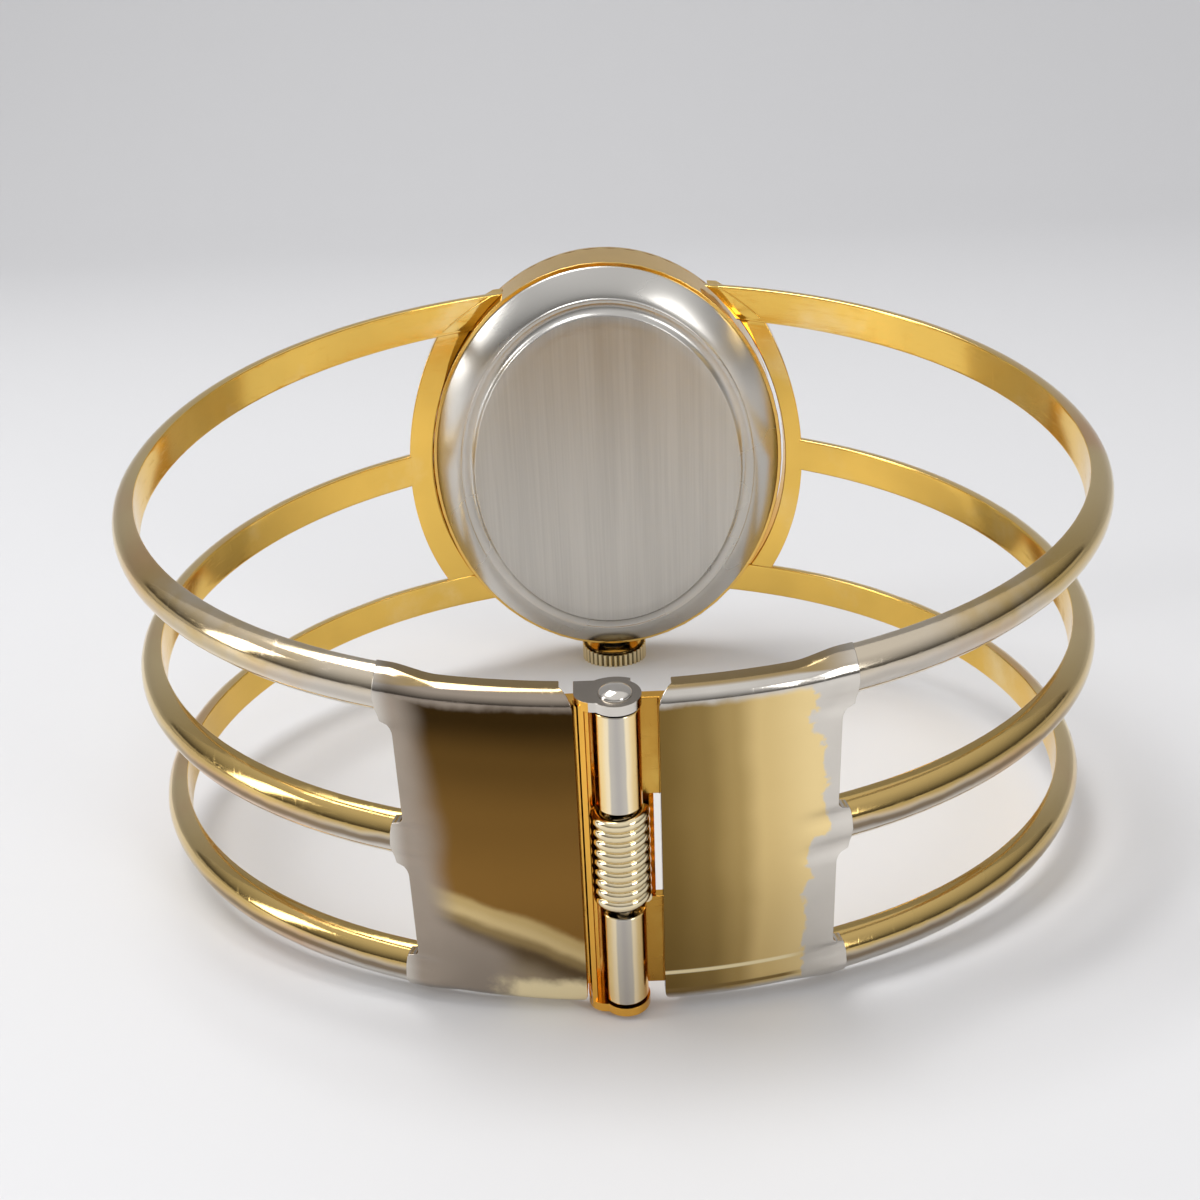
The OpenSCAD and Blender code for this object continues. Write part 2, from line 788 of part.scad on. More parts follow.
module gasket_outline() {
    difference() {
        oval(case_half_h - gasket_from, case_half_w - gasket_from);
        oval(case_half_h - gasket_to, case_half_w - gasket_to);
    }
}

module case_back_gasket() {
    color("#26262a")
        placed()
            layer(middle_y, gasket_t)
                gasket_outline();
}

// A pressed back: flat middle, a bead round it, a hollow slope and a thin rim
module case_back() {
    slope = [for (i = [0:5]) [(back_rim_w - 0.1) * (1 - i / 5) + back_lip, back_y + 0.35 + (back_rise - 0.6) * pow(i / 5, 1.25)]];
    color(steel)
        placed()
            oval_dish(case_half_h, case_half_w, [
                [back_rim_w + 0.35, back_y],
                [back_rim_w + 0.2, back_y + 0.04],
                [back_rim_w + 0.1, back_y + 0.28],
                each slope,
                [back_lip, middle_y],
                [back_seat_to, middle_y],
                [back_rim_w + 0.2, back_inner_y + 0.3],
                [back_rim_w + 0.45, back_inner_y]
            ]);
}

module bezel() {
    color(gold)
        placed()
            oval_ring(case_half_h, case_half_w, [
                [0, front_y],
                [0, front_y + 0.25],
                [0.2, front_y + 0.5],
                [bezel_w * 0.5, bezel_front_y - 0.35],
                [bezel_w, bezel_front_y],
                [crystal_inset, bezel_front_y],
                [crystal_inset, crystal_seat_y],
                [bezel_open_inset, crystal_seat_y],
                [bezel_open_inset, dial_y + dial_t],
                [middle_wall, dial_y + dial_t],
                [middle_wall, front_y]
            ]);
}

module crystal_gasket() {
    color("#26262a")
        placed()
            layer(crystal_seat_y, gasket_t)
                difference() {
                    oval(case_half_h - crystal_inset, case_half_w - crystal_inset);
                    oval(case_half_h - bezel_open_inset, case_half_w - bezel_open_inset);
                }
}

module crystal() {
    reach = case_half_w - crystal_inset;
    color("#dfe6e8", 0.4)
        placed()
            oval_dish(case_half_h, case_half_w, [
                [crystal_inset, crystal_in_y],
                for (i = [0:5])
                    [crystal_inset + reach * 0.16 * i, crystal_in_y + crystal_t + crystal_dome * (1 - pow(1 - i / 5, 2))]
            ]);
}

module crown_tube() {
    color(steel)
        placed()
            difference() {
                along_stem(-crown_near - 0.9, -case_inner_h, tube_r);
                along_stem(-crown_far, 0, stem_r + 0.1);
            }
}

module crown_gasket() {
    color("#26262a")
        placed()
            difference() {
                along_stem(-crown_near - 0.75, -crown_near - 0.35, crown_recess_r - 0.02);
                along_stem(-crown_far, 0, tube_r + 0.02);
            }
}

// A knob's outline with square flutes
function fluted(r, count, depth) =
    [for (i = [0:4 * count - 1]) (i % 4 < 2 ? r : r - depth) * toward(i * 90 / count)];

module crown() {
    color(gold)
        placed()
            difference() {
                union() {
                    translate([0, stem_y, -case_drop - crown_far + 0.2])
                        linear_extrude(crown_l - 0.35)
                            polygon(fluted(crown_r, crown_flutes, flute_d));
                    translate([0, stem_y, -case_drop - crown_far])
                        cylinder(r1 = crown_r - 0.45, r2 = crown_r - flute_d - 0.02, h = 0.2);
                    along_stem(-crown_near - 0.15, -crown_near, crown_r - flute_d - 0.1);
                }
                along_stem(-crown_near - crown_recess_l, 1 - crown_near, crown_recess_r);
                along_stem(-crown_near - crown_recess_l - 0.35, -crown_near, stem_r);
            }
}

module winding_stem() {
    color(steel)
        placed()
            difference() {
                union() {
                    along_stem(-crown_near - crown_recess_l - 0.35, -square_from, stem_r);
                    translate([-square_w / 2, stem_y - square_w / 2, -square_from - case_drop])
                        cube([square_w, square_w, square_l]);
                    along_stem(square_l - square_from, stem_end, 0.25);
                }
                difference() {
                    along_stem(-groove_from, groove_l - groove_from, stem_r + 1);
                    along_stem(-groove_from - 1, groove_l - groove_from + 1, groove_r);
                }
            }
}

module movement_ring() {
    color(brass)
        placed()
            difference() {
                layer(middle_y, dial_y - middle_y)
                    difference() {
                        oval(case_inner_h - 0.03, case_inner_w - 0.03);
                        circle(r = move_r + 0.05);
                    }
                along_stem(-case_half_h, 0, tube_r + 0.1);
            }
}

module dial() {
    color("#f3efe2")
        placed()
            layer(dial_y, dial_t)
                difference() {
                    oval(case_inner_h - 0.1, case_inner_w - 0.1);
                    circle(r = hour_tube_r + 0.1);
                }
}

// The way that a hand points at an angle of the clock, with the crown at a quarter past
function clock(deg) = [-cos(deg), -sin(deg)];

module hour_markers() {
    open_h = case_half_h - bezel_open_inset;
    open_w = case_half_w - bezel_open_inset;
    color(gold)
        placed()
            layer(dial_y + dial_t, 0.15)
                for (i = [0:marker_count - 1])
                    let (d = clock(i * 360 / marker_count))
                        translate([open_w * marker_place * d[0], open_h * marker_place * d[1]])
                            rotate(heading([0, 0], [open_w * d[0], open_h * d[1]]))
                                square([i % 3 == 0 ? marker_l : marker_l * 0.7, marker_w], center = true);
}

// A tapered hand from a round eye
module hand(y, deg, length, eye, bore, wide) {
    start = (eye + bore) / 2;
    layer(y, hand_t)
        rotate(heading([0, 0], clock(deg))) {
            difference() {
                circle(r = eye);
                circle(r = bore);
            }
            polygon([[start, -wide / 2], [length * 0.8, -wide / 2], [length, -0.05], [length, 0.05],
                [length * 0.8, wide / 2], [start, wide / 2]]);
            translate([-2 * eye, -wide / 3])
                square([2 * eye - start, 2 * wide / 3]);
        }
}

module hour_hand() {
    color("#2b2b2e")
        placed()
            hand(hour_hand_y, 304, hour_len, hour_tube_r + 0.3, hour_tube_r, 0.62);
}

module minute_hand() {
    color("#2b2b2e")
        placed()
            hand(minute_hand_y, 48, minute_len, cannon_tube_r + 0.3, cannon_tube_r, 0.45);
}

// The main plate, with the blocks that carry the stem and the posts of the dial side
module main_plate() {
    color(nickel)
        placed()
            difference() {
                union() {
                    layer(main_y, plate_t)
                        circle(r = move_r);
                    layer(stem_y - 0.9, main_y - stem_y + 0.9)
                        intersection() {
                            circle(r = move_r);
                            translate([-1.3, -move_r])
                                square([2.6, move_r - winding_from - 0.12]);
                        }
                    layer(stem_y - 0.7, main_y - stem_y + 0.7)
                        translate([-0.6, 0.08 - square_from + square_l])
                            square([1.2, square_from - square_l - 0.08 + stem_end]);
                    rod(minute_wheel_at, main_y, post_pin_r, motion_y + 2 * motion_t + 0.05 - main_y);
                    rod(lever_at, main_y, post_pin_r, plate_t + 0.3);
                    rod(yoke_at, main_y, post_pin_r, plate_t + 0.3);
                }
                layer(main_y - 0.01, plate_t + 0.02) {
                    translate([-1.7, -winding_from - 0.08])
                        square([3.4, winding_from + 0.16 - square_from + square_l]);
                    circle(r = center_r + run_clear);
                    for (at = [third_at, fourth_at, escape_at, pallet_at, balance_at])
                        translate(at)
                            circle(r = jewel_r);
                    translate(barrel_at)
                        circle(r = barrel_arbor_r + run_clear);
                    for (at = all_posts)
                        translate(at)
                            circle(r = screw_r);
                    strap([lever_pin_x, lever_pin_z + 0.05], [lever_pin_x, lever_pin_z - crown_travel - 0.05], lever_pin_r + 0.1);
                }
                along_stem(-move_r - 1, stem_end + 0.1, stem_r + run_clear);
                layer(stem_y - 0.3, main_y - stem_y + 0.31)
                    strap([lever_pin_x, lever_pin_z + 0.05], [lever_pin_x, lever_pin_z - crown_travel - 0.05], lever_pin_r + 0.1);
            }
}

// A bridge on posts that stand on the main plate, with a hole for a screw down each
module bridge(y, thick, posts) {
    difference() {
        union() {
            layer(y, thick)
                children();
            for (at = posts)
                rod(at, y, post_r, main_y - y);
        }
        for (at = posts)
            rod(at, y - 1, screw_r + 0.05, main_y - y + 2);
    }
}

module barrel_bridge() {
    color(nickel)
        placed()
            difference() {
                bridge(bridge_y, bridge_t, barrel_posts)
                    difference() {
                        intersection() {
                            circle(r = move_r);
                            polygon(barrel_bridge_edge);
                        }
                        translate(barrel_at)
                            circle(r = barrel_arbor_r + run_clear);
                        translate(crown_wheel_at)
                            circle(r = post_pin_r);
                        translate(click_at)
                            circle(r = post_pin_r);
                        translate([-1.4, -winding_from - 0.1])
                            square([2.8, winding_l + 0.2]);
                    }
                layer(bridge_y - 0.01, 0.36)
                    translate(crown_wheel_at)
                        difference() {
                            circle(r = crown_wheel_teeth * winding_mod / 2 + 0.15);
                            circle(r = 1.7);
                        }
            }
}

module train_bridge() {
    color(nickel)
        placed()
            bridge(bridge_y, bridge_t, train_posts)
                difference() {
                    intersection() {
                        circle(r = move_r);
                        polygon(train_bridge_edge);
                    }
                    circle(r = center_r + run_clear);
                    translate(balance_at)
                        circle(r = balance_r + 0.3);
                    for (at = [third_at, fourth_at, escape_at])
                        translate(at)
                            circle(r = jewel_r);
                }
}

module balance_cock() {
    foot = (cock_posts[0] + cock_posts[1]) / 2;
    color(nickel)
        placed() {
            bridge(bridge_y, cock_t, cock_posts)
                difference() {
                    intersection() {
                        circle(r = move_r);
                        union() {
                            strap(cock_posts[0], cock_posts[1], post_r + 0.2);
                            strap(foot, balance_at, 0.8);
                            strap(balance_at, stud_at, 0.3);
                        }
                    }
                    translate(balance_at)
                        circle(r = jewel_r);
                }
            rod(stud_at, bridge_y, 0.12, spring_y + spring_h - bridge_y);
        }
}

module pallet_bridge() {
    color(nickel)
        placed()
            bridge(pallet_bridge_y, pallet_bridge_t, pallet_posts)
                difference() {
                    union() {
                        strap(pallet_posts[0], pallet_posts[1], post_r);
                        strap((pallet_posts[0] + pallet_posts[1]) / 2, pallet_at, jewel_r + 0.15);
                    }
                    translate(pallet_at)
                        circle(r = jewel_r);
                }
}

module screw(at, y) {
    difference() {
        rod(at, y - screw_head_t, post_r - 0.05, screw_head_t);
        layer(y - screw_head_t - 1, 1 + screw_head_t / 2)
            translate(at)
                rotate(35)
                    square([2, 0.12], center = true);
    }
    rod(at, y - 0.01, screw_r, main_front_y - 0.1 - y);
}

module bridge_screws() {
    color("#7f8796")
        placed() {
            for (at = concat(barrel_posts, train_posts, cock_posts))
                screw(at, bridge_y);
            for (at = pallet_posts)
                screw(at, pallet_bridge_y);
        }
}

module jewel(at, y, thick) {
    layer(y, thick)
        translate(at)
            difference() {
                circle(r = jewel_r);
                circle(r = pivot_r + run_clear);
            }
}

module jewels() {
    color(ruby)
        placed() {
            for (at = [third_at, fourth_at, escape_at])
                jewel(at, bridge_y, bridge_t);
            jewel(balance_at, bridge_y, cock_t);
            jewel(pallet_at, pallet_bridge_y, pallet_bridge_t);
            for (at = [third_at, fourth_at, escape_at, pallet_at, balance_at])
                jewel(at, main_y, plate_t);
        }
}

module barrel_drum() {
    color(brass)
        placed()
            difference() {
                union() {
                    rod(barrel_at, drum_y, drum_r, drum_h);
                    wheel_at(barrel_at, drum_y + 0.25, 0.4)
                        wheel_teeth(barrel_teeth, barrel_mod, heading(barrel_at, [0, 0]) + 180 / barrel_teeth);
                }
                rod(barrel_at, drum_y + drum_wall, drum_r - drum_wall, drum_h - 2 * drum_wall);
                rod(barrel_at, drum_y - 1, barrel_arbor_r + run_clear, drum_h + 2);
            }
}

module mainspring() {
    color(spring_blue)
        placed()
            wheel_at(barrel_at, drum_y + drum_wall + 0.05, drum_h - 2 * drum_wall - 0.1)
                spiral(core_r + 0.06, drum_r - drum_wall - 0.08, 7, 0.05, 0);
}

module barrel_arbor() {
    color(steel)
        placed() {
            rod(barrel_at, ratchet_y - 0.1, barrel_arbor_r, main_y + 0.4 - ratchet_y);
            rod(barrel_at, drum_y + drum_wall + 0.03, core_r, drum_h - 2 * drum_wall - 0.06);
        }
}

module ratchet_wheel() {
    color(steel)
        placed()
            wheel_at(barrel_at, ratchet_y, ratchet_t)
                difference() {
                    wheel_teeth(ratchet_teeth, winding_mod, heading(barrel_at, crown_wheel_at) + 180 / ratchet_teeth);
                    circle(r = barrel_arbor_r);
                }
}

module crown_wheel() {
    r = crown_wheel_teeth * winding_mod / 2;
    color(steel)
        placed() {
            wheel_at(crown_wheel_at, ratchet_y, ratchet_t)
                difference() {
                    wheel_teeth(crown_wheel_teeth, winding_mod, heading(crown_wheel_at, barrel_at));
                    circle(r = 0.6);
                }
            wheel_at(crown_wheel_at, ratchet_y + ratchet_t - 0.01, stem_y - winding_r - run_clear - ratchet_y - ratchet_t)
                difference() {
                    circle(r = r - 0.12);
                    circle(r = r - 0.5);
                }
        }
}

// The post and cap that the crown wheel turns on
module crown_wheel_core() {
    color(steel)
        placed() {
            rod(crown_wheel_at, ratchet_y - 0.15, 0.75, 0.12);
            rod(crown_wheel_at, ratchet_y - 0.15, 0.57, bridge_y - ratchet_y + 0.15);
            rod(crown_wheel_at, bridge_y - 0.1, post_pin_r, bridge_t);
        }
}

module click() {
    tip = barrel_at + (ratchet_teeth * winding_mod / 2 + 0.35) * toward(click_deg - 30);
    color(steel)
        placed()
            layer(ratchet_y, ratchet_t)
                difference() {
                    union() {
                        translate(click_at)
                            circle(r = 0.5);
                        strap(click_at, tip, 0.18);
                    }
                    translate(click_at)
                        circle(r = post_pin_r + run_clear);
                }
}

module click_spring() {
    tip = barrel_at + (ratchet_teeth * winding_mod / 2 + 0.63) * toward(click_deg - 24);
    root = click_at + [-1.3, 1.0];
    color(spring_blue)
        placed() {
            layer(ratchet_y + 0.05, bridge_y - ratchet_y - 0.05)
                translate(root)
                    circle(r = 0.32);
            layer(ratchet_y + 0.05, ratchet_t - 0.1)
                strap(root, tip, 0.05);
        }
}

// A train wheel and its pinion on their arbor
module mobile(at, wheel, wheel_y, pinion, pinion_y) {
    wheel_at(at, wheel_y, wheel_t)
        spoked_wheel(wheel[0], wheel[1], wheel[2], 4, 0.25);
    wheel_at(at, pinion_y, train_pinion_l)
        pinion_leaves(pinion[0], pinion[1], pinion[2]);
    rod(at, bridge_y + 0.1, pivot_r, main_front_y - bridge_y - 0.2);
    rod(at, bridge_front_y + 0.05, arbor_r, main_y - bridge_front_y - 0.1);
}

module center_wheel() {
    color(brass)
        placed() {
            wheel_at([0, 0], center_wheel_y, wheel_t)
                spoked_wheel(center_teeth, center_mod, heading([0, 0], third_at) + 180 / center_teeth, 5, 0.25);
            wheel_at([0, 0], center_pinion_y, center_wheel_y - center_pinion_y + 0.01)
                pinion_leaves(center_leaves, barrel_mod, heading([0, 0], barrel_at));
            rod([0, 0], bridge_y + 0.1, center_r, minute_hand_y + 0.15 - bridge_y);
        }
}

module third_wheel() {
    color(brass)
        placed()
            mobile(third_at, [third_teeth, third_mod, heading(third_at, fourth_at) + 180 / third_teeth], third_wheel_y,
                [third_leaves, center_mod, heading(third_at, [0, 0])], third_pinion_y);
}

module fourth_wheel() {
    color(brass)
        placed()
            mobile(fourth_at, [fourth_teeth, fourth_mod, heading(fourth_at, escape_at) + 180 / fourth_teeth], fourth_wheel_y,
                [fourth_leaves, third_mod, heading(fourth_at, third_at)], fourth_pinion_y);
}

module escape_wheel() {
    rim = 0.3;
    tooth = 0.5;
    pitch = 360 / escape_teeth;
    color(steel)
        placed() {
            wheel_at(escape_at, escape_y, wheel_t)
                difference() {
                    polygon([for (i = [0:escape_teeth - 1], k = [[0, escape_r - tooth], [6, escape_r], [9, escape_r], [12, escape_r - tooth]])
                        k[1] * toward(i * pitch + k[0])]);
                    difference() {
                        circle(r = escape_r - tooth - rim);
                        circle(r = 3 * arbor_r);
                        for (i = [0:3])
                            rotate(i * 90)
                                translate([0, -arbor_r])
                                    square([escape_r, 2 * arbor_r]);
                    }
                }
            wheel_at(escape_at, escape_pinion_y, train_pinion_l)
                pinion_leaves(escape_leaves, fourth_mod, heading(escape_at, fourth_at));
            rod(escape_at, bridge_y + 0.1, pivot_r, main_front_y - bridge_y - 0.2);
            rod(escape_at, bridge_front_y + 0.05, arbor_r, main_y - bridge_front_y - 0.1);
        }
}

module pallet_fork() {
    fork_deg = heading(pallet_at, balance_at);
    fork_l = norm(balance_at - pallet_at) - roller_orbit - pivot_r - 0.16;
    color(steel)
        placed() {
            layer(escape_y, wheel_t) {
                strap(pallet_at, pallet_at + fork_l * toward(fork_deg), 0.12);
                for (s = [-1, 1])
                    strap(pallet_at, escape_at + (escape_r + 0.22) * toward(heading(escape_at, pallet_at) + s * 30), 0.1);
            }
            rod(pallet_at, pallet_bridge_y + 0.05, pivot_r, main_front_y - pallet_bridge_y - 0.15);
            rod(pallet_at, pallet_bridge_y + pallet_bridge_t + 0.03, arbor_r, main_y - pallet_bridge_y - pallet_bridge_t - 0.06);
        }
}

module balance_wheel() {
    color(brass)
        placed() {
            wheel_at(balance_at, balance_y, balance_t) {
                difference() {
                    circle(r = balance_r);
                    circle(r = balance_r - 0.35);
                }
                for (i = [0:2])
                    rotate(i * 120)
                        translate([0, -0.13])
                            square([balance_r - 0.1, 0.26]);
                circle(r = 0.4);
            }
            rod(balance_at, roller_y, 0.85, 0.15);
            rod(balance_at + roller_orbit * toward(heading(balance_at, pallet_at)), roller_y, pivot_r, 0.45);
            rod(balance_at, spring_y, collet_r, spring_h);
            rod(balance_at, bridge_y + 0.1, pivot_r, main_front_y - bridge_y - 0.2);
            rod(balance_at, bridge_y + cock_t + 0.05, arbor_r, main_y - bridge_y - cock_t - 0.1);
        }
}

module hairspring() {
    color(spring_blue)
        placed()
            wheel_at(balance_at, spring_y, spring_h)
                spiral(collet_r + 0.03, hair_r, 6, 0.03, stud_deg);
}

module regulator() {
    color(steel)
        placed() {
            layer(bridge_y - 0.2, 0.2)
                difference() {
                    union() {
                        translate(balance_at)
                            circle(r = jewel_r + 0.3);
                        strap(balance_at, balance_at + 1.7 * toward(regulator_deg + 180), 0.12);
                        strap(balance_at, balance_at + 2.15 * toward(regulator_deg), 0.16);
                    }
                    translate(balance_at)
                        circle(r = jewel_r + 0.02);
                }
            for (r = [hair_r - 0.15, hair_r + 0.09])
                rod(balance_at + r * toward(regulator_deg), bridge_y - 0.1, 0.05, spring_y + spring_h - bridge_y + 0.1);
        }
}

module cannon_pinion() {
    color(steel)
        placed()
            difference() {
                union() {
                    wheel_at([0, 0], motion_y, motion_t)
                        pinion_leaves(cannon_leaves, motion_mod, minute_wheel_deg);
                    rod([0, 0], motion_y, cannon_tube_r, minute_hand_y + hand_t - motion_y);
                }
                rod([0, 0], motion_y - 1, center_r + run_clear, 4);
            }
}

module minute_wheel() {
    color(brass)
        placed()
            difference() {
                union() {
                    wheel_at(minute_wheel_at, motion_y, motion_t)
                        wheel_teeth(minute_teeth, motion_mod, minute_wheel_deg + 180 + 180 / minute_teeth);
                    wheel_at(minute_wheel_at, motion_y + motion_t - 0.01, motion_t + 0.06)
                        pinion_leaves(minute_leaves, motion_mod, minute_wheel_deg + 180);
                }
                rod(minute_wheel_at, motion_y - 1, post_pin_r + run_clear, 3);
            }
}

module hour_wheel() {
    color(brass)
        placed()
            difference() {
                union() {
                    wheel_at([0, 0], motion_y + motion_t + 0.05, motion_t)
                        wheel_teeth(hour_teeth, motion_mod, minute_wheel_deg + 180 / hour_teeth);
                    rod([0, 0], motion_y + motion_t + 0.05, hour_tube_r, hour_hand_y + hand_t - motion_y - motion_t - 0.05);
                }
                rod([0, 0], motion_y, cannon_tube_r + run_clear, 4);
            }
}

// A gear on the stem, drawn from its inner end outwards
module stem_gear(outer, count, depth, from_z, length) {
    translate([0, stem_y, from_z - case_drop])
        linear_extrude(length)
            polygon(fluted(outer, count, depth));
}

module winding_pinion() {
    color(steel)
        placed()
            difference() {
                stem_gear(winding_r, winding_teeth, 0.15, -winding_from, winding_l);
                along_stem(-move_r, 0, stem_r + run_clear);
            }
}

module sliding_pinion() {
    hole = square_w + 2 * run_clear;
    color(steel)
        placed()
            difference() {
                stem_gear(sliding_r, 18, 0.12, sliding_from, sliding_l);
                translate([-hole / 2, stem_y - hole / 2, -move_r])
                    cube([hole, hole, move_r]);
                difference() {
                    along_stem(yoke_tip_z - 0.16, yoke_tip_z + 0.16, sliding_r + 1);
                    along_stem(yoke_tip_z - 1, yoke_tip_z + 1, sliding_r - 0.22);
                }
            }
}

module setting_lever() {
    pin_at = [lever_pin_x, lever_pin_z];
    color(steel)
        placed()
            difference() {
                union() {
                    layer(main_front_y + 0.05, 0.22) {
                        strap(lever_at, pin_at, 0.28);
                        translate(lever_at)
                            circle(r = 0.42);
                    }
                    rod(pin_at, stem_y - 0.2, lever_pin_r, main_front_y + 0.1 - stem_y + 0.2);
                }
                rod(lever_at, main_y, post_pin_r + run_clear, 3);
            }
}

module yoke_lever() {
    tip = [0, yoke_tip_z];
    color(steel)
        placed()
            difference() {
                union() {
                    layer(main_front_y, 0.22) {
                        strap(yoke_at, tip, 0.2);
                        translate(yoke_at)
                            circle(r = 0.42);
                    }
                    rod(tip, stem_y + sliding_r - 0.22 + run_clear, 0.11, main_front_y + 0.1 - stem_y - sliding_r + 0.22);
                }
                rod(yoke_at, main_y, post_pin_r, 3);
            }
}

module left_top_bar() { color(silver_gold) placed() bar(-1, 1); }
module left_middle_bar() { color(silver_gold) placed() bar(-1, 0); }
module left_bottom_bar() { color(silver_gold) placed() bar(-1, -1); }
module right_top_bar() { color(silver_gold) placed() bar(1, 1); }
module right_middle_bar() { color(silver_gold) placed() bar(1, 0); }
module right_bottom_bar() { color(silver_gold) placed() bar(1, -1); }
module left_rail() { color(gold) placed() rail(-1); }
module right_rail() { color(gold) placed() rail(1); }
module left_rear_plate() { color(gold) placed() rear_plate(-1); }
module right_rear_plate() { color(gold) placed() rear_plate(1); }

left_top_bar();
left_middle_bar();
left_bottom_bar();
left_rail();
left_rear_plate();
right_top_bar();
right_middle_bar();
right_bottom_bar();
right_rail();
right_rear_plate();
hinge_yoke();
hinge_leaf();
hinge_pin();
hinge_spring();
case_middle();
case_back();
case_back_gasket();
bezel();
crystal();
crystal_gasket();
crown();
crown_gasket();
crown_tube();
winding_stem();
movement_ring();
dial();
hour_markers();
hour_hand();
minute_hand();
main_plate();
barrel_bridge();
train_bridge();
balance_cock();
pallet_bridge();
bridge_screws();
jewels();
barrel_drum();
mainspring();
barrel_arbor();
ratchet_wheel();
crown_wheel();
crown_wheel_core();
click();
click_spring();
center_wheel();
third_wheel();
fourth_wheel();
escape_wheel();
pallet_fork();
balance_wheel();
hairspring();
regulator();
cannon_pinion();
minute_wheel();
hour_wheel();
winding_pinion();
sliding_pinion();
setting_lever();
yoke_lever();
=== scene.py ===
"""Finishes a packed cuff watch: smooth bars, pressed plates, a coiled spring, an oval case and its dial."""

from math import atan2, cos, pi, radians, sin, sqrt

import bmesh
import bpy
from bpy.props import FloatProperty, FloatVectorProperty, IntProperty, PointerProperty
from mathutils import Matrix, Vector


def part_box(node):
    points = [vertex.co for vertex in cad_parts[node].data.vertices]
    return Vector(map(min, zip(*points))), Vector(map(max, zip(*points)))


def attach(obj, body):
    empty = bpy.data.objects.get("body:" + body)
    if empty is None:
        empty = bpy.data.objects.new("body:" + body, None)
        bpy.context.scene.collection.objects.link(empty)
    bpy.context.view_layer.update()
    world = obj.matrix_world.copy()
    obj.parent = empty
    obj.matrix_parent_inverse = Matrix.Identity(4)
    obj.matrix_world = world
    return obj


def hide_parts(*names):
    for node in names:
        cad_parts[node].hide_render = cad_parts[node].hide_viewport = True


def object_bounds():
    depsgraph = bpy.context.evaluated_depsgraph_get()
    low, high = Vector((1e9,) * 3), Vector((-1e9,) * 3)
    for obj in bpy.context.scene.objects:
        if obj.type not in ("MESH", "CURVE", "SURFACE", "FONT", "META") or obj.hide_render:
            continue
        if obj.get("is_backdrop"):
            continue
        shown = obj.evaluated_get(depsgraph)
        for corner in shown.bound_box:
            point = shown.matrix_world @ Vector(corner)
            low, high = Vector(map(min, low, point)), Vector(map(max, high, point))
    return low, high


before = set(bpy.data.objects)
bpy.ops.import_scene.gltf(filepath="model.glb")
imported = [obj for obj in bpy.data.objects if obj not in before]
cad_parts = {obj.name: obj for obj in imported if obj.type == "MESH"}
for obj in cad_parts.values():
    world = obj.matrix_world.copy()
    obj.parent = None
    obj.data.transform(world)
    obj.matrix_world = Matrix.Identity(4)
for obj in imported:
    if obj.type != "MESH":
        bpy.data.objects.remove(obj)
cad_low, cad_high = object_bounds()

bl_info = {
    "name": "Cuff watch",
    "version": (1, 0, 0),
    "blender": (4, 5, 0),
    "location": "3D View > Sidebar > Cuff watch",
    "description": "Dresses the cuff watch's pieces and sets the stage for its picture",
    "category": "Object",
}

MM = 0.001
TO_MM = 1000.0
BAR_ROWS = ("top", "middle", "bottom")
SIDES = {"left": -1, "right": 1}
ARM_BODY = {"left": "watch", "right": "right_arm"}

# Depth of the finest scratches and grain in every material
GRAIN = 0.02 * MM

# Half depth of the oval that the bars follow, and how far a bar's ends run into what they meet
BAR_DEPTH = 26.5 * MM
BAR_RUN_IN = 0.12 * MM

# Lean in degrees of a plate's outer end, beside a top bar's middle and at its edge
END_LEAN = (2.5, 73.7)

# The camera as it was fitted to the picture: lengths in pixels of the picture and turns in radians
PICTURE_PX = 1200
FOCAL_PX = 1586.77
SHIFT_PX = (31.05, 0.84)
SENSOR = 36.0
CAMERA_AT = Vector((0.116, -86.29, 65.70)) * MM
CAMERA_YAW = -0.0325
CAMERA_PITCH = 0.5065
CAMERA_ROLL = -0.0537

# The stage in metres: the floor's sides and near end, where it starts to bend up, the bend and the wall
FLOOR_SIDE = 1.6
FLOOR_NEAR = -1.2
FLOOR_FAR = 0.28
FLOOR_BEND = 0.25
WALL = 1.2
LAMP_AIM = Vector((0, 0, 0.015))

# Each lamp's name, its strength among the settings, its place and its width and height
LAMPS = (("Key lamp", "key", (-0.12, 0.10, 0.40), 0.26, 0.16),
         ("Fill lamp", "fill", (0.22, -0.26, 0.20), 0.10, 0.14),
         ("Side lamp", "fill", (-0.30, -0.06, 0.14), 0.06, 0.18))

# Colours of the sky from the horizon up: pale, dark in a band that the metal mirrors, then pale again
SKY = ((0.07, (0.60, 0.60, 0.61)), (0.11, (0.09, 0.085, 0.08)), (0.16, (0.10, 0.095, 0.09)),
       (0.8, (0.85, 0.85, 0.86)))


def middle_of(node):
    low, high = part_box(node)
    return (low + high) / 2


def depth_of(node):
    low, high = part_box(node)
    return low.y, high.y


def oval_of(node):
    """Half width and half height of an oval node, seen along the cuff's depth."""
    low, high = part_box(node)
    return (high.x - low.x) / 2, (high.z - low.z) / 2


case_at = middle_of("case_middle")
case_half_w, case_half_h = oval_of("case_middle")
hinge_at = middle_of("hinge_pin")
cuff_half_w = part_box("right_middle_bar")[1].x


def size(label, default, description):
    return FloatProperty(name=label, description=description, default=default, unit="LENGTH", precision=5)


def colour(label, default, description):
    return FloatVectorProperty(
        name=label, description=description, default=(*default, 1.0), size=4, subtype="COLOR", min=0, max=1)


def count(label, default, low, high, description):
    return IntProperty(name=label, description=description, default=default, min=low, max=high)


def power(label, default, description):
    return FloatProperty(name=label, description=description, default=default, subtype="POWER")


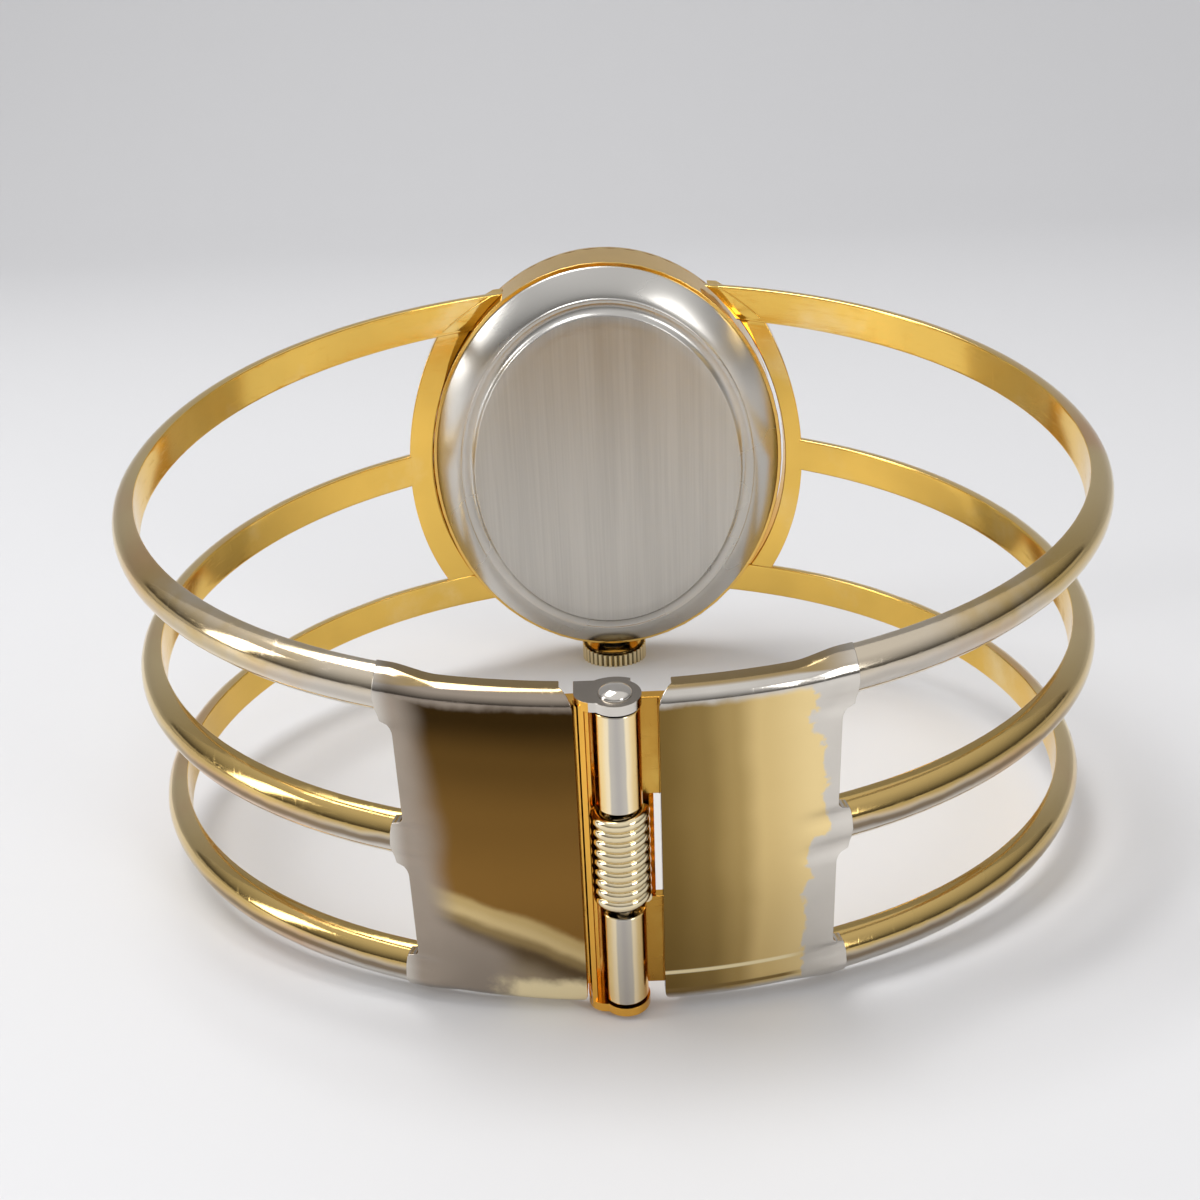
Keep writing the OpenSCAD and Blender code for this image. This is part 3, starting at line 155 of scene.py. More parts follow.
class CuffSizes(bpy.types.PropertyGroup):
    rear: size("Rear depth", 24.6 * MM, "Depth from the cuff's middle to the outside of its back")
    front: size("Front depth", 26.8 * MM, "Depth from the cuff's middle to the outside of its front")
    bar: size("Bar height", 2.4 * MM, "Height of one bar")
    thick: size("Bar thickness", 1.4 * MM, "Thickness of one bar and of a rail")
    edge: size("Bar edge", 0.1 * MM, "Rounding of the corners along a bar")
    crown: size("Bar crown", 1.25 * MM, "Radius of the round outside of a bar")
    oval: size("Rail oval", 17.9 * MM, "Half height of the oval that the rails' outer edges follow")
    gap: size("Rail gap", 0.2 * MM, "Gap between the case and the swinging rail")
    tip: size("Rail tip", 0.7 * MM, "Width of a rail's tip at the top bar's edge")
    sheet: size("Sheet", 0.55 * MM, "Thickness of a rear plate's sheet")
    roll: size("Roll", 0.9 * MM, "Radius of a rear plate's rolled edges")
    corner: size("Corner", 0.6 * MM, "Radius of a rear plate's corners beside the hinge")
    fillet: size("Fillet", 0.6 * MM, "Radius of the hollow corners between a plate and its bars")
    tongue: size("Tongue", 0.8 * MM, "How far a plate runs out over the middle of each bar")
    proud: size("Proud", 0.11 * MM, "How far a plate's outer end stands over the bars")
    rise: size("Rise", 8.346 * MM, "Height from the middle bar to the top bar where they leave a plate")
    blend: size("Blend", 2.4 * MM, "Length over which a plate's outside turns into the bars' crowns")


class HingeSizes(bpy.types.PropertyGroup):
    wire: size("Spring wire", 0.66 * MM, "Thickness of the hinge spring's wire")
    turns: count("Spring turns", 9, 3, 12, "Coils of the hinge spring")
    shaft: size("Pin radius", 0.5 * MM, "Radius of the hinge pin between its two heads")
    ear: size("Ear", 0.55 * MM, "Thickness of the top ear with the rounding under it")
    edge: size("Hinge edge", 0.07 * MM, "Rounding of the hinge's edges")


class CaseSizes(bpy.types.PropertyGroup):
    steps: count("Oval steps", 112, 48, 200, "Steps round the case's ovals")
    edge: size("Case edge", 0.06 * MM, "Rounding of the case's edges")
    margin: size("Margin", 3.15 * MM, "Width of the case back outside its flat")


class Finishes(bpy.types.PropertyGroup):
    gold: colour("Gold", (0.93, 0.60, 0.13), "Polished gold inside the cuff")
    rubbed: colour("Rubbed gold", (0.98, 0.76, 0.36), "Gold where it is rubbed inside the cuff")
    champagne: colour("Champagne", (0.80, 0.63, 0.34), "Rubbed gold outside the cuff")
    rosy: colour("Rosy gold", (0.74, 0.47, 0.27), "Patches in the rubbed gold outside the cuff")
    deep: colour("Deep gold", (0.88, 0.62, 0.23), "Gold outside the cuff towards the front")
    # Painted dark reflection: olive along the bars' tops behind the wrist.
    olive: colour("Olive", (0.56, 0.39, 0.14), "Dulled gold along the tops of the bars behind the wrist")
    # Painted dark reflection: a dark band under the bars' olive tops.
    seam: colour("Seam", (0.16, 0.10, 0.04), "Dark line under the dulled gold of the bars")
    # Painted dark reflection: brown on the narrow top face of a rear plate.
    top_reflection_brown: colour("Browned", (0.40, 0.29, 0.14), "Narrow face along the top of a rear plate")
    worn: colour("Worn", (0.70, 0.66, 0.60), "White metal where the gold has worn off")
    # Taupe: worn white metal darkened as painted shade on the left plate's rolled margin.
    taupe: colour("Taupe", (0.37, 0.31, 0.25), "Dulled white metal around the left plate")
    # Painted dark reflection: the bronze over the left plate's face.
    bronze: colour("Bronze", (0.17, 0.088, 0.02), "Tarnished gold on the left plate")
    flank: colour("Flank", (0.84, 0.54, 0.15), "Gold of the case's side, the bezel and the hour markers")
    amber: colour("Amber", (0.88, 0.47, 0.08), "Deep gold in the hinge")
    spring: colour("Spring", (0.86, 0.73, 0.47), "Wire of the hinge spring")
    # A dark silver standing in as painted shade on the top ear's top.
    ear: colour("Ear", (0.36, 0.32, 0.27), "Top ear of the hinge")
    ear_wear: colour("Ear wear", (0.52, 0.44, 0.32), "Gold that is left on the top ear")
    crown: colour("Crown", (0.88, 0.74, 0.45), "Ridges of the crown")
    groove: colour("Groove", (0.10, 0.07, 0.03), "Grooves of the crown")
    steel: colour("Steel", (0.66, 0.64, 0.60), "Steel of the case back")
    brass: colour("Brass", (0.72, 0.52, 0.22), "Wheels of the movement")
    nickel: colour("Nickel", (0.66, 0.64, 0.60), "Plates of the movement")
    blue: colour("Blue", (0.05, 0.08, 0.22), "Blued steel of the screws and springs")
    ruby: colour("Ruby", (0.45, 0.01, 0.06), "Jewels")
    dial: colour("Dial", (0.83, 0.79, 0.70), "Dial")
    ink: colour("Ink", (0.02, 0.02, 0.022), "Hands and minute track")
    rubber: colour("Rubber", (0.02, 0.02, 0.022), "Gaskets")


class StageSettings(bpy.types.PropertyGroup):
    floor: colour("Floor", (0.72, 0.72, 0.73), "Floor and backdrop")
    key: power("Key lamp", 0.9, "Power of the large lamp overhead")
    fill: power("Fill lamp", 0.25, "Power of the lamps beside the camera and at the left")


# Mesh helpers

def new_piece(name, bm, materials, smooth_deg=None):
    """Makes an object from a bmesh, with its place in its mesh."""
    mesh = bpy.data.meshes.new(name)
    for face in bm.faces:
        face.smooth = True
    if smooth_deg is not None:
        for edge in bm.edges:
            edge.smooth = not (len(edge.link_faces) == 2 and edge.calc_face_angle(0) > radians(smooth_deg))
    bm.to_mesh(mesh)
    bm.free()
    piece = bpy.data.objects.new(name, mesh)
    bpy.context.scene.collection.objects.link(piece)
    for finish in materials:
        mesh.materials.append(bpy.data.materials[finish])
    return piece


def finish_piece(piece, body, slot, node):
    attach(piece, body)
    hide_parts(node)


def add_bevel(piece, width, deg):
    bevel = piece.modifiers.new("Edges", "BEVEL")
    bevel.width = width
    bevel.segments = 3
    bevel.limit_method = "ANGLE"
    bevel.angle_limit = radians(deg)
    bevel.harden_normals = True
    bevel.use_clamp_overlap = True


def copied(node, flat_deg=1.0):
    """A merged copy of a CAD node's mesh as a bmesh, with flat areas joined into single faces."""
    bm = bmesh.new()
    bm.from_mesh(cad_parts[node].data)
    bmesh.ops.remove_doubles(bm, verts=bm.verts[:], dist=2e-6)
    bmesh.ops.dissolve_limit(
        bm, angle_limit=radians(flat_deg), verts=bm.verts[:], edges=bm.edges[:],
        use_dissolve_boundaries=False, delimit=set())
    return bm


def refined(name, node, materials, edge, deg=35):
    """A CAD node's copy with rounded edges and smooth shading."""
    piece = new_piece(name, copied(node), materials, smooth_deg=deg)
    add_bevel(piece, edge, deg)
    weld = piece.modifiers.new("Joined", "WELD")
    weld.merge_threshold = 0.001 * MM
    return piece


def loop_move(verts, places):
    for vert, place in zip(verts, places):
        vert.co = place


def ring_edges(bm, ring):
    return [bm.edges.get((ring[i], ring[(i + 1) % len(ring)])) for i in range(len(ring))]


def pulled_ring(bm, ring, places):
    """Extrudes a closed ring of vertices to new places and returns the new ring in the same order."""
    grown = bmesh.ops.extrude_edge_only(bm, edges=ring_edges(bm, ring))["geom"]
    fresh = {v for v in grown if isinstance(v, bmesh.types.BMVert)}
    follow = [next(e.other_vert(v) for e in v.link_edges if e.other_vert(v) in fresh) for v in ring]
    loop_move(follow, places)
    return follow


def oval_lathe(profile, half_w, half_h, centre, steps, closed=False, capped=False):
    """Pulls a ring round an oval through [inset, depth] or [inset, depth, shrink] steps."""
    bm = bmesh.new()
    first = bmesh.ops.create_circle(bm, cap_ends=False, radius=1, segments=steps)["verts"]
    turns = [2 * pi * i / steps for i in range(steps)]

    def row(inset, depth, shrink=1.0):
        return [Vector((centre.x + (half_w - inset) * cos(t) * shrink, depth,
                        centre.z + (half_h - inset) * sin(t) * shrink)) for t in turns]

    loop_move(first, row(*profile[0]))
    last = first
    for point in profile[1:]:
        last = pulled_ring(bm, last, row(*point))
    if closed:
        bmesh.ops.bridge_loops(bm, edges=ring_edges(bm, first) + ring_edges(bm, last))
    if capped:
        for ring in (first, last):
            if (ring[0].co - ring[steps // 2].co).length < 1e-6:
                bmesh.ops.pointmerge(bm, verts=ring, merge_co=ring[0].co)
            else:
                bmesh.ops.contextual_create(bm, geom=ring_edges(bm, ring))
    bmesh.ops.recalc_face_normals(bm, faces=bm.faces[:])
    return bm


def in_mm(depth, points):
    """A profile from insets and depths in mm, the depths counted from a depth in metres."""
    return [(inset * MM, depth + further * MM) for inset, further in points]


# Material helpers

class Value:
    """A number or a colour that a tree's nodes give, with plain arithmetic."""

    def __init__(self, tree, socket):
        self.tree = tree
        self.socket = socket

    def __add__(self, other):
        return self.tree.math("ADD", self, other)

    def __sub__(self, other):
        return self.tree.math("SUBTRACT", self, other)

    def __rsub__(self, other):
        return self.tree.math("SUBTRACT", other, self)

    def __mul__(self, other):
        return self.tree.math("MULTIPLY", self, other)

    def __truediv__(self, other):
        return self.tree.math("DIVIDE", self, other)

    def __abs__(self):
        return self.tree.math("ABSOLUTE", self)

    def __round__(self):
        return self.tree.math("ROUND", self)

    def rising(self, low, high, to_low=0.0, to_high=1.0):
        """Eases from to_low, up to where the value is low, to to_high, from where it is high."""
        node = self.tree.node("ShaderNodeMapRange", Value=self)
        node.interpolation_type = "SMOOTHSTEP"
        for name, number in (("From Min", low), ("From Max", high), ("To Min", to_low), ("To Max", to_high)):
            node.inputs[name].default_value = number
        return Value(self.tree, node.outputs["Result"])

    def falling(self, low, high):
        return self.rising(low, high, 1.0, 0.0)


class Tree:
    """A node tree, with short ways to add and join nodes."""

    def __init__(self, tree, place):
        self.nodes = tree.nodes
        self.links = tree.links
        self.place = self.nodes.new("ShaderNodeTexCoord").outputs[place]

    def put(self, value, socket):
        if isinstance(value, Value):
            self.links.new(value.socket, socket)
        else:
            socket.default_value = value

    def node(self, kind, place=None, **inputs):
        """A new node with its inputs set, and with a place joined to its vector."""
        node = self.nodes.new(kind)
        for name, value in inputs.items():
            self.put(value, node.inputs[name])
        if place is not None:
            self.links.new(place, node.inputs["Vector"])
        return node

    def mapped(self, scale=(1, 1, 1), turn=(0, 0, 0), shift=(0, 0, 0)):
        node = self.node("ShaderNodeMapping", self.place, Scale=scale, Rotation=turn, Location=shift)
        return node.outputs["Vector"]

    def noise(self, scale, detail=3.0, rough=0.5, place=None):
        node = self.node(
            "ShaderNodeTexNoise", place or self.place, Scale=scale, Detail=detail, Roughness=rough)
        return Value(self, node.outputs["Fac"])

    def split(self, place=None):
        node = self.node("ShaderNodeSeparateXYZ", place or self.place)
        return [Value(self, socket) for socket in node.outputs]

    def math(self, kind, a, b=0.0):
        node = self.nodes.new("ShaderNodeMath")
        node.operation = kind
        self.put(a, node.inputs[0])
        self.put(b, node.inputs[1])
        return Value(self, node.outputs[0])

    def mix(self, share, a, b):
        """Colour a where the share is 0 and colour b where it is 1."""
        node = self.node("ShaderNodeMix", Factor=share)
        node.data_type = "RGBA"
        colours = [socket for socket in node.inputs if socket.type == "RGBA"]
        self.put(a, colours[0])
        self.put(b, colours[1])
        return Value(self, next(socket for socket in node.outputs if socket.type == "RGBA"))

    def ramp(self, value, *stops, blend="EASE"):
        """A smooth run of colours, each stop a place from 0 to 1 and a colour."""
        node = self.node("ShaderNodeValToRGB", Fac=value)
        node.color_ramp.interpolation = blend
        marks = node.color_ramp.elements
        while len(marks) < len(stops):
            marks.new(0.5)
        for mark, (place, rgba) in zip(marks, stops):
            mark.position = place
        for mark, (place, rgba) in zip(marks, stops):
            mark.color = (*rgba[:3], 1.0)
        return Value(self, node.outputs["Color"])


class Paint(Tree):
    """A material and its nodes."""

    def __init__(self, name, metallic=0.0, roughness=0.4):
        material = bpy.data.materials.new(name)
        material.use_nodes = True
        super().__init__(material.node_tree, "Object")
        self.inputs = self.nodes["Principled BSDF"].inputs
        self.inputs["Metallic"].default_value = metallic
        self.inputs["Roughness"].default_value = roughness

    def base(self, value):
        self.put(value, self.inputs["Base Color"])

    def rough(self, value):
        self.put(value, self.inputs["Roughness"])

    def bump(self, height, strength):
        node = self.node("ShaderNodeBump", Height=height, Strength=strength, Distance=GRAIN)
        self.links.new(node.outputs["Normal"], self.inputs["Normal"])


def scaled(rgba, share):
    return (rgba[0] * share, rgba[1] * share, rgba[2] * share, 1.0)


def tone(name, share=1.0):
    """One of the panel's finishes, darker or lighter by a share."""
    return scaled(getattr(bpy.context.scene.cuff_finishes, name), share)


def scratched(paint, roughness, depth):
    """Fine scratches two ways across the surface, which also dull it a little."""
    one = paint.noise(500.0, 3.0, 0.6, paint.mapped((1, 1, 9), (0.4, 0.2, 0.6)))
    other = paint.noise(420.0, 3.0, 0.6, paint.mapped((8, 1, 1), (0.1, 0.5, 0.3)))
    lines = paint.math("MAXIMUM", one.rising(0.56, 0.7), other.rising(0.6, 0.72))
    paint.rough(lines.rising(0.0, 1.0, roughness, roughness + 0.09))
    paint.bump(paint.noise(1500.0) + lines, depth)


def metal(name, rgba, roughness, wear=None, wear_full=0.75):
    """Polished metal with faint clouds, fine scratches and, if wear is a colour, soft worn patches."""
    paint = Paint(name, 1.0, roughness)
    base = paint.mix(paint.noise(160.0).rising(0.3, 0.7), scaled(rgba, 0.93), scaled(rgba, 1.03))
    if wear is not None:
        base = paint.mix(paint.noise(130.0, 5.0, 0.55).rising(0.55, wear_full), base, wear)
    paint.base(base)
    scratched(paint, roughness, 0.04)


def plain(name, rgba, roughness):
    """Paint, rubber or stone with faint clouds and a fine grain."""
    paint = Paint(name, 0.0, roughness)
    paint.base(paint.mix(paint.noise(600.0), scaled(rgba, 0.85), scaled(rgba, 1.1)))
    paint.bump(paint.noise(3000.0, 2.0), 0.05)
    return paint


# Materials

def bar_height(y, z):
    """Height in mm above the middle of whichever bar is nearest. The bars' rows spread towards the front."""
    top_low, top_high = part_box("right_top_bar")
    middle_z = middle_of("right_middle_bar").z
    rear_row = (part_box("right_rear_plate")[1].z - middle_z) * TO_MM - 1.0
    front_row = (top_high.z - middle_z) * TO_MM - 1.2
    slope = (front_row - rear_row) / (top_high.y - top_low.y)
    spacing = y * slope + (rear_row - slope * top_low.y)
    up = (z - middle_z) * TO_MM
    return up - round(up / spacing) * spacing


def worn_and_reflection_outside(paint, base):
    """Gold gone to white metal towards the rear plates, with a painted dark reflection there: olive along the
    bars' tops and a dark band under them.
    """
    x, y, z = paint.split()
    reach = abs(x) * TO_MM + (paint.noise(150.0, 4.0, 0.55) - 0.5) * 26.0
    near = reach.falling(14.0, 23.0)
    behind = y.falling(-18 * MM, -8 * MM)
    above = bar_height(y, z) + paint.noise(300.0) * 0.5
    crown = above.rising(0.25, 0.75)
    top_bar_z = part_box("left_top_bar")[0].z
    low_bars = z.rising(top_bar_z - 1.5 * MM, top_bar_z, 1.0, 0.35)
    # Painted dark reflection: olive along the bars' tops behind the wrist.
    olive_reflection = paint.mix(crown * behind, base, tone("olive"))
    skin = paint.mix(near * behind * (1.0 - crown * low_bars), olive_reflection, tone("worn"))
    # Painted dark reflection: a dark band just under those tops.
    seam = abs(above - 0.22).rising(0.05, 0.4, 0.85, 0.0)
    return paint.mix(seam * behind * low_bars, skin, tone("seam"))


def outer_gold_material():
    """Rubbed gold with rosy patches, deeper towards the front and worn behind the wrist, with a painted dark
    reflection on and under the bars' tops there.
    """
    paint = Paint("Outer gold", 1.0, 0.12)
    rosy = paint.mix(paint.noise(90.0).rising(0.45, 0.7), tone("champagne"), tone("rosy"))
    forward = paint.split()[1].rising(-6 * MM, 18 * MM)
    paint.base(worn_and_reflection_outside(paint, paint.mix(forward, rosy, tone("deep"))))
    scratched(paint, 0.11, 0.05)


def knuckle_material():
    """Gold knuckles with a painted reflection in bands along the pin: grey down the middle, cream highlights
    beside it, then amber gold at the sides.
    """
    paint = Paint("Knuckle gold", 1.0, 0.12)
    off = abs(paint.split()[0] - hinge_at.x) * TO_MM + (paint.noise(400.0) - 0.5) * 0.12
    # Painted reflection by distance from the pin: grey in the middle, cream highlight, then amber.
    paint.base(paint.ramp(
        off / 1.2, (0.0, (0.50, 0.47, 0.43)), (0.26, (0.58, 0.54, 0.47)), (0.36, (0.97, 0.83, 0.56)),
        (0.62, (0.93, 0.70, 0.33)), (0.85, tone("amber"))))
    scratched(paint, 0.1, 0.03)


def crown_material():
    """Pale gold with dark grooves between the crown's ridges."""
    centre = middle_of("crown")
    rim = oval_of("crown")[0]
    paint = Paint("Crown gold", 1.0, 0.16)
    x, y, z = paint.split(paint.mapped(shift=(-centre.x, -centre.y, 0)))
    off = paint.math("SQRT", x * x + y * y)
    groove = off.falling(rim - 0.14 * MM, rim - 0.05 * MM)
    side = off.rising(rim - 0.4 * MM, rim - 0.3 * MM)
    paint.base(paint.mix(groove * side, tone("crown"), tone("groove")))
    scratched(paint, 0.15, 0.03)


def plate_places(paint, side):
    """Distance out from the hinge, height above the plate's middle and two kinds of unevenness, in mm."""
    low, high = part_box(f"{side}_rear_plate")
    x, y, z = paint.split()
    out = x * (SIDES[side] * TO_MM)
    up = (z - (low.z + high.z) / 2) * TO_MM
    wave = paint.noise(170.0, 2.0, 0.4) - 0.5
    ragged = paint.noise(620.0, 5.0, 0.6) - 0.5
    return out, up, wave, ragged, (high.z - low.z) / 2 * TO_MM


def painted_top_reflection(paint, skin, out, up, half_h):
    """Painted dark reflection: brown gold on the narrow face along a plate's top, as far as its bar."""
    high = up.rising(half_h - 0.16, half_h - 0.06) * out.falling(9.0, 12.0)
    return paint.mix(high, skin, tone("top_reflection_brown"))


def left_plate_material():
    """Bronze painted as a dark reflection, darker towards the top, with a slanting band of painted reflection
    and a pale lower corner, inside a taupe margin of worn metal darkened as painted shade.
    """
    paint = Paint("Left plate", 1.0, 0.16)
    out, up, wave, ragged, half_h = plate_places(paint, "left")
    # Worn white metal round the margin, darkened to taupe as painted shade of the rolled edges; further out
    # it is plain worn metal.
    silver = paint.mix(paint.noise(240.0, 4.0, 0.6), tone("taupe", 0.85), tone("taupe", 1.15))
    silver = paint.mix(out.rising(10.3, 11.6), silver, tone("worn"))
    height = (up + half_h) / (2 * half_h)
    # Painted dark reflection in bronze over the face, darker towards the top.
    face = paint.ramp(
        height + wave * 0.05, (0.35, tone("bronze", 1.45)), (0.62, tone("bronze", 1.1)),
        (0.80, tone("bronze", 0.7)), (0.92, tone("bronze", 0.22)))
    # Below a slanting line the face is painted reflection: pale cream lower down, then a painted dark line,
    # then a gold band that runs into the bronze.
    slant = up - out * 0.40 + 6.4 + wave * 1.4 + ragged * 0.35
    under = paint.ramp(
        (slant + 5.0) / 6.0, (0.0, (0.92, 0.78, 0.46)), (0.22, (0.80, 0.66, 0.40)),
        (0.34, (0.34, 0.27, 0.18)), (0.58, (0.12, 0.08, 0.04)), (0.68, (0.30, 0.21, 0.09)),
        (0.78, (0.66, 0.50, 0.24)), (0.90, (0.56, 0.41, 0.17)), (1.0, tone("bronze", 1.45)))
    face = paint.mix(slant.rising(0.5, 1.5), under, face)
    # Taupe below the band, further out from the hinge.
    low_left = (out + wave * 4.0).rising(4.6, 7.2) * (slant + wave).falling(-2.2, -0.9)
    face = paint.mix(low_left, face, tone("taupe", 0.9))
    # A pale cream patch along the lower edge near the hinge.
    rubbed = (up + ragged * 1.2).falling(1.2 - half_h, 2.0 - half_h) * (out + ragged * 3.0).falling(5.2, 6.6)
    face = paint.mix(rubbed, face, (0.93, 0.80, 0.50, 1))
    margin = (out + wave * 2.0 + up * -0.05).rising(8.2, 10.2)
    top = (up + ragged * 0.5).rising(half_h - 1.05, half_h - 0.45)
    skin = paint.mix(paint.math("MAXIMUM", margin, top), face, silver)
    paint.base(painted_top_reflection(paint, skin, out, up, half_h))
    scratched(paint, 0.11, 0.05)


def right_plate_material():
    """Gold with a painted dark reflection near the hinge that lightens away from it, worn through at its
    outer end and rolled edges, with a painted highlight line and a painted dark line near the bottom edge.
    """
    paint = Paint("Right plate", 1.0, 0.16)
    out, up, wave, ragged, half_h = plate_places(paint, "right")
    silver = paint.mix(paint.noise(260.0, 4.0, 0.6), tone("worn", 0.8), tone("worn", 1.05))
    silver = paint.mix(out.rising(10.0, 11.2), silver, tone("worn"))
    # Painted dark reflection: dark gold near the hinge, lightening away from it.
    face = paint.ramp(
        (out + wave * 1.6 - 2.0) / 8.5, (0.0, (0.20, 0.125, 0.035)), (0.25, (0.28, 0.185, 0.06)),
        (0.42, (0.43, 0.30, 0.11)), (0.58, (0.72, 0.53, 0.23)), (0.9, (0.88, 0.68, 0.33)))
    sag = up.rising(-1.5, 1.0, 0.9, 0.0)
    peak = up.rising(half_h - 4.2, half_h - 2.4, 0.0, 0.8)
    end = (out + ragged * 2.6 + wave * 1.5 + (sag + peak)).rising(9.75, 10.0)
    uneven_up = up + ragged * 0.5
    top = uneven_up.rising(half_h - 0.95, half_h - 0.5)
    low = uneven_up.falling(0.35 - half_h, 0.9 - half_h)
    skin = paint.mix(paint.math("MAXIMUM", end, paint.math("MAXIMUM", top, low)), face, silver)
    # A painted highlight line 2.15 mm and a painted dark line 0.98 mm above the bottom edge.
    for above_edge, painted_line_tone in ((2.15, (0.99, 0.86, 0.54, 1)), (0.98, (0.26, 0.17, 0.06, 1))):
        line = abs(up + (half_h - above_edge)).falling(0.06, 0.16)
        skin = paint.mix(line * (out + wave * 2.0).falling(8.0, 9.4), skin, painted_line_tone)
    paint.base(painted_top_reflection(paint, skin, out, up, half_h))
    scratched(paint, 0.11, 0.05)


def back_materials():
    """Steel brushed along the case's height for the flat, and polished steel for outside it."""
    flat = Paint("Brushed back", 1.0, 0.36)
    streaks = flat.noise(1.0, 3.0, 0.6, flat.mapped((6500, 6500, 90)))
    wide = flat.noise(1.0, 3.0, 0.5, flat.mapped((700, 700, 30)))
    brushed = streaks * 0.45 + wide * 0.55
    flat.base(flat.mix(brushed.rising(0.3, 0.7), tone("steel", 0.74), tone("steel", 0.88)))
    flat.rough(brushed.rising(0.3, 0.7, 0.34, 0.40))
    flat.bump(streaks, 0.08)
    ring = Paint("Polished back", 1.0, 0.2)
    clouds = ring.noise(110.0).rising(0.35, 0.7)
    ring.base(ring.mix(clouds, tone("steel", 0.80), tone("steel", 0.94)))
    ring.rough(clouds.rising(0.0, 1.0, 0.26, 0.33))
    ring.bump(ring.noise(1500.0), 0.015)


def minute_track(paint, x, z):
    """Sixty fine strokes along the dial's oval edge, between the hour markers' ends and the bezel."""
    across = x / (case_half_w - 2.8 * MM)
    upward = z / (case_half_h - 2.8 * MM)
    share = paint.math("SQRT", across * across + upward * upward)
    span = share.rising(0.905, 0.912) * share.falling(0.958, 0.965)
    minute = paint.math("ARCTAN2", upward, across) * (30 / pi)
    return span * abs(minute - round(minute)).falling(0.05, 0.08)


def dial_material():
    """Silvered dial with a fine ray finish from its centre."""
    paint = Paint("Silvered dial", 0.55, 0.38)
    x, y, z = paint.split(paint.mapped(shift=-middle_of("dial")))
    spread = paint.node("ShaderNodeCombineXYZ", X=paint.math("ARCTAN2", z, x) * 40.0)
    rays = paint.noise(1.0, 3.0, 0.7, spread.outputs[0])
    ground = paint.mix(rays, tone("dial", 0.93), tone("dial", 1.05))
    paint.base(paint.mix(minute_track(paint, x, z), ground, tone("ink")))
    paint.bump(rays, 0.06)


def crystal_material():
    """Clear acrylic with faint smears."""
    paint = Paint("Crystal", 0.0, 0.03)
    paint.base((0.97, 0.98, 0.98, 1))
    paint.inputs["Transmission Weight"].default_value = 1.0
    paint.inputs["IOR"].default_value = 1.49
    paint.rough(paint.noise(1400.0, 2.0).rising(0.5, 0.9, 0.02, 0.08))


def make_materials():
    metal("Inner gold", tone("gold"), 0.13, tone("rubbed"), 0.8)
    metal("Flank gold", tone("flank"), 0.1)
    metal("Hinge gold", tone("amber"), 0.14, tone("gold"))
    # Flange gold is a darker copy of the hinge amber: painted shade on the leaf's flanges.
    metal("Flange gold", tone("amber", 0.6), 0.2, tone("gold", 0.75))
    metal("Spring steel", tone("spring"), 0.1, tone("worn"))
    metal("Ear silver", tone("ear"), 0.16, tone("ear_wear"))
    metal("Rivet silver", tone("worn"), 0.1)
    metal("Movement brass", tone("brass"), 0.25)
    metal("Movement nickel", tone("nickel"), 0.28)
    metal("Movement steel", tone("worn"), 0.2)
    metal("Blued steel", tone("blue"), 0.2)
    outer_gold_material()
    knuckle_material()
    crown_material()
    left_plate_material()
    right_plate_material()
    back_materials()
    dial_material()
    crystal_material()
    plain("Hand paint", tone("ink"), 0.25)
    plain("Gasket rubber", tone("rubber"), 0.6)
    plain("Ruby", tone("ruby"), 0.08).inputs["Transmission Weight"].default_value = 0.4


# Operators

class CUFF_OT_camera(bpy.types.Operator):
    """Places the camera behind and above the hinge, as the watch was photographed"""
    bl_idname = "cuff.camera"
    bl_label = "Camera"

    def execute(self, context):
        data = bpy.data.cameras.new("Camera")
        data.sensor_fit = "HORIZONTAL"
        data.sensor_width = SENSOR
        data.lens = SENSOR * FOCAL_PX / PICTURE_PX
        data.shift_x = SHIFT_PX[0] / PICTURE_PX
        data.shift_y = SHIFT_PX[1] / PICTURE_PX
        data.clip_start = 0.005
        data.clip_end = 20.0
        camera = bpy.data.objects.new("Camera", data)
        context.scene.collection.objects.link(camera)
        level = cos(CAMERA_PITCH)
        ahead = Vector((sin(CAMERA_YAW) * level, cos(CAMERA_YAW) * level, -sin(CAMERA_PITCH)))
        right = Vector((cos(CAMERA_YAW), -sin(CAMERA_YAW), 0.0))
        up = right.cross(ahead)
        side = cos(CAMERA_ROLL) * right + sin(CAMERA_ROLL) * up
        top = -sin(CAMERA_ROLL) * right + cos(CAMERA_ROLL) * up
        turn = Matrix((side, top, -ahead)).transposed().to_4x4()
        camera.matrix_world = Matrix.Translation(CAMERA_AT) @ turn
        context.scene.camera = camera
        return {"FINISHED"}


def along_cuff(place):
    """The way that a bar runs at a place on the cuff."""
    return Vector((-place.y * cuff_half_w ** 2 / BAR_DEPTH ** 2, place.x, 0)).normalized()


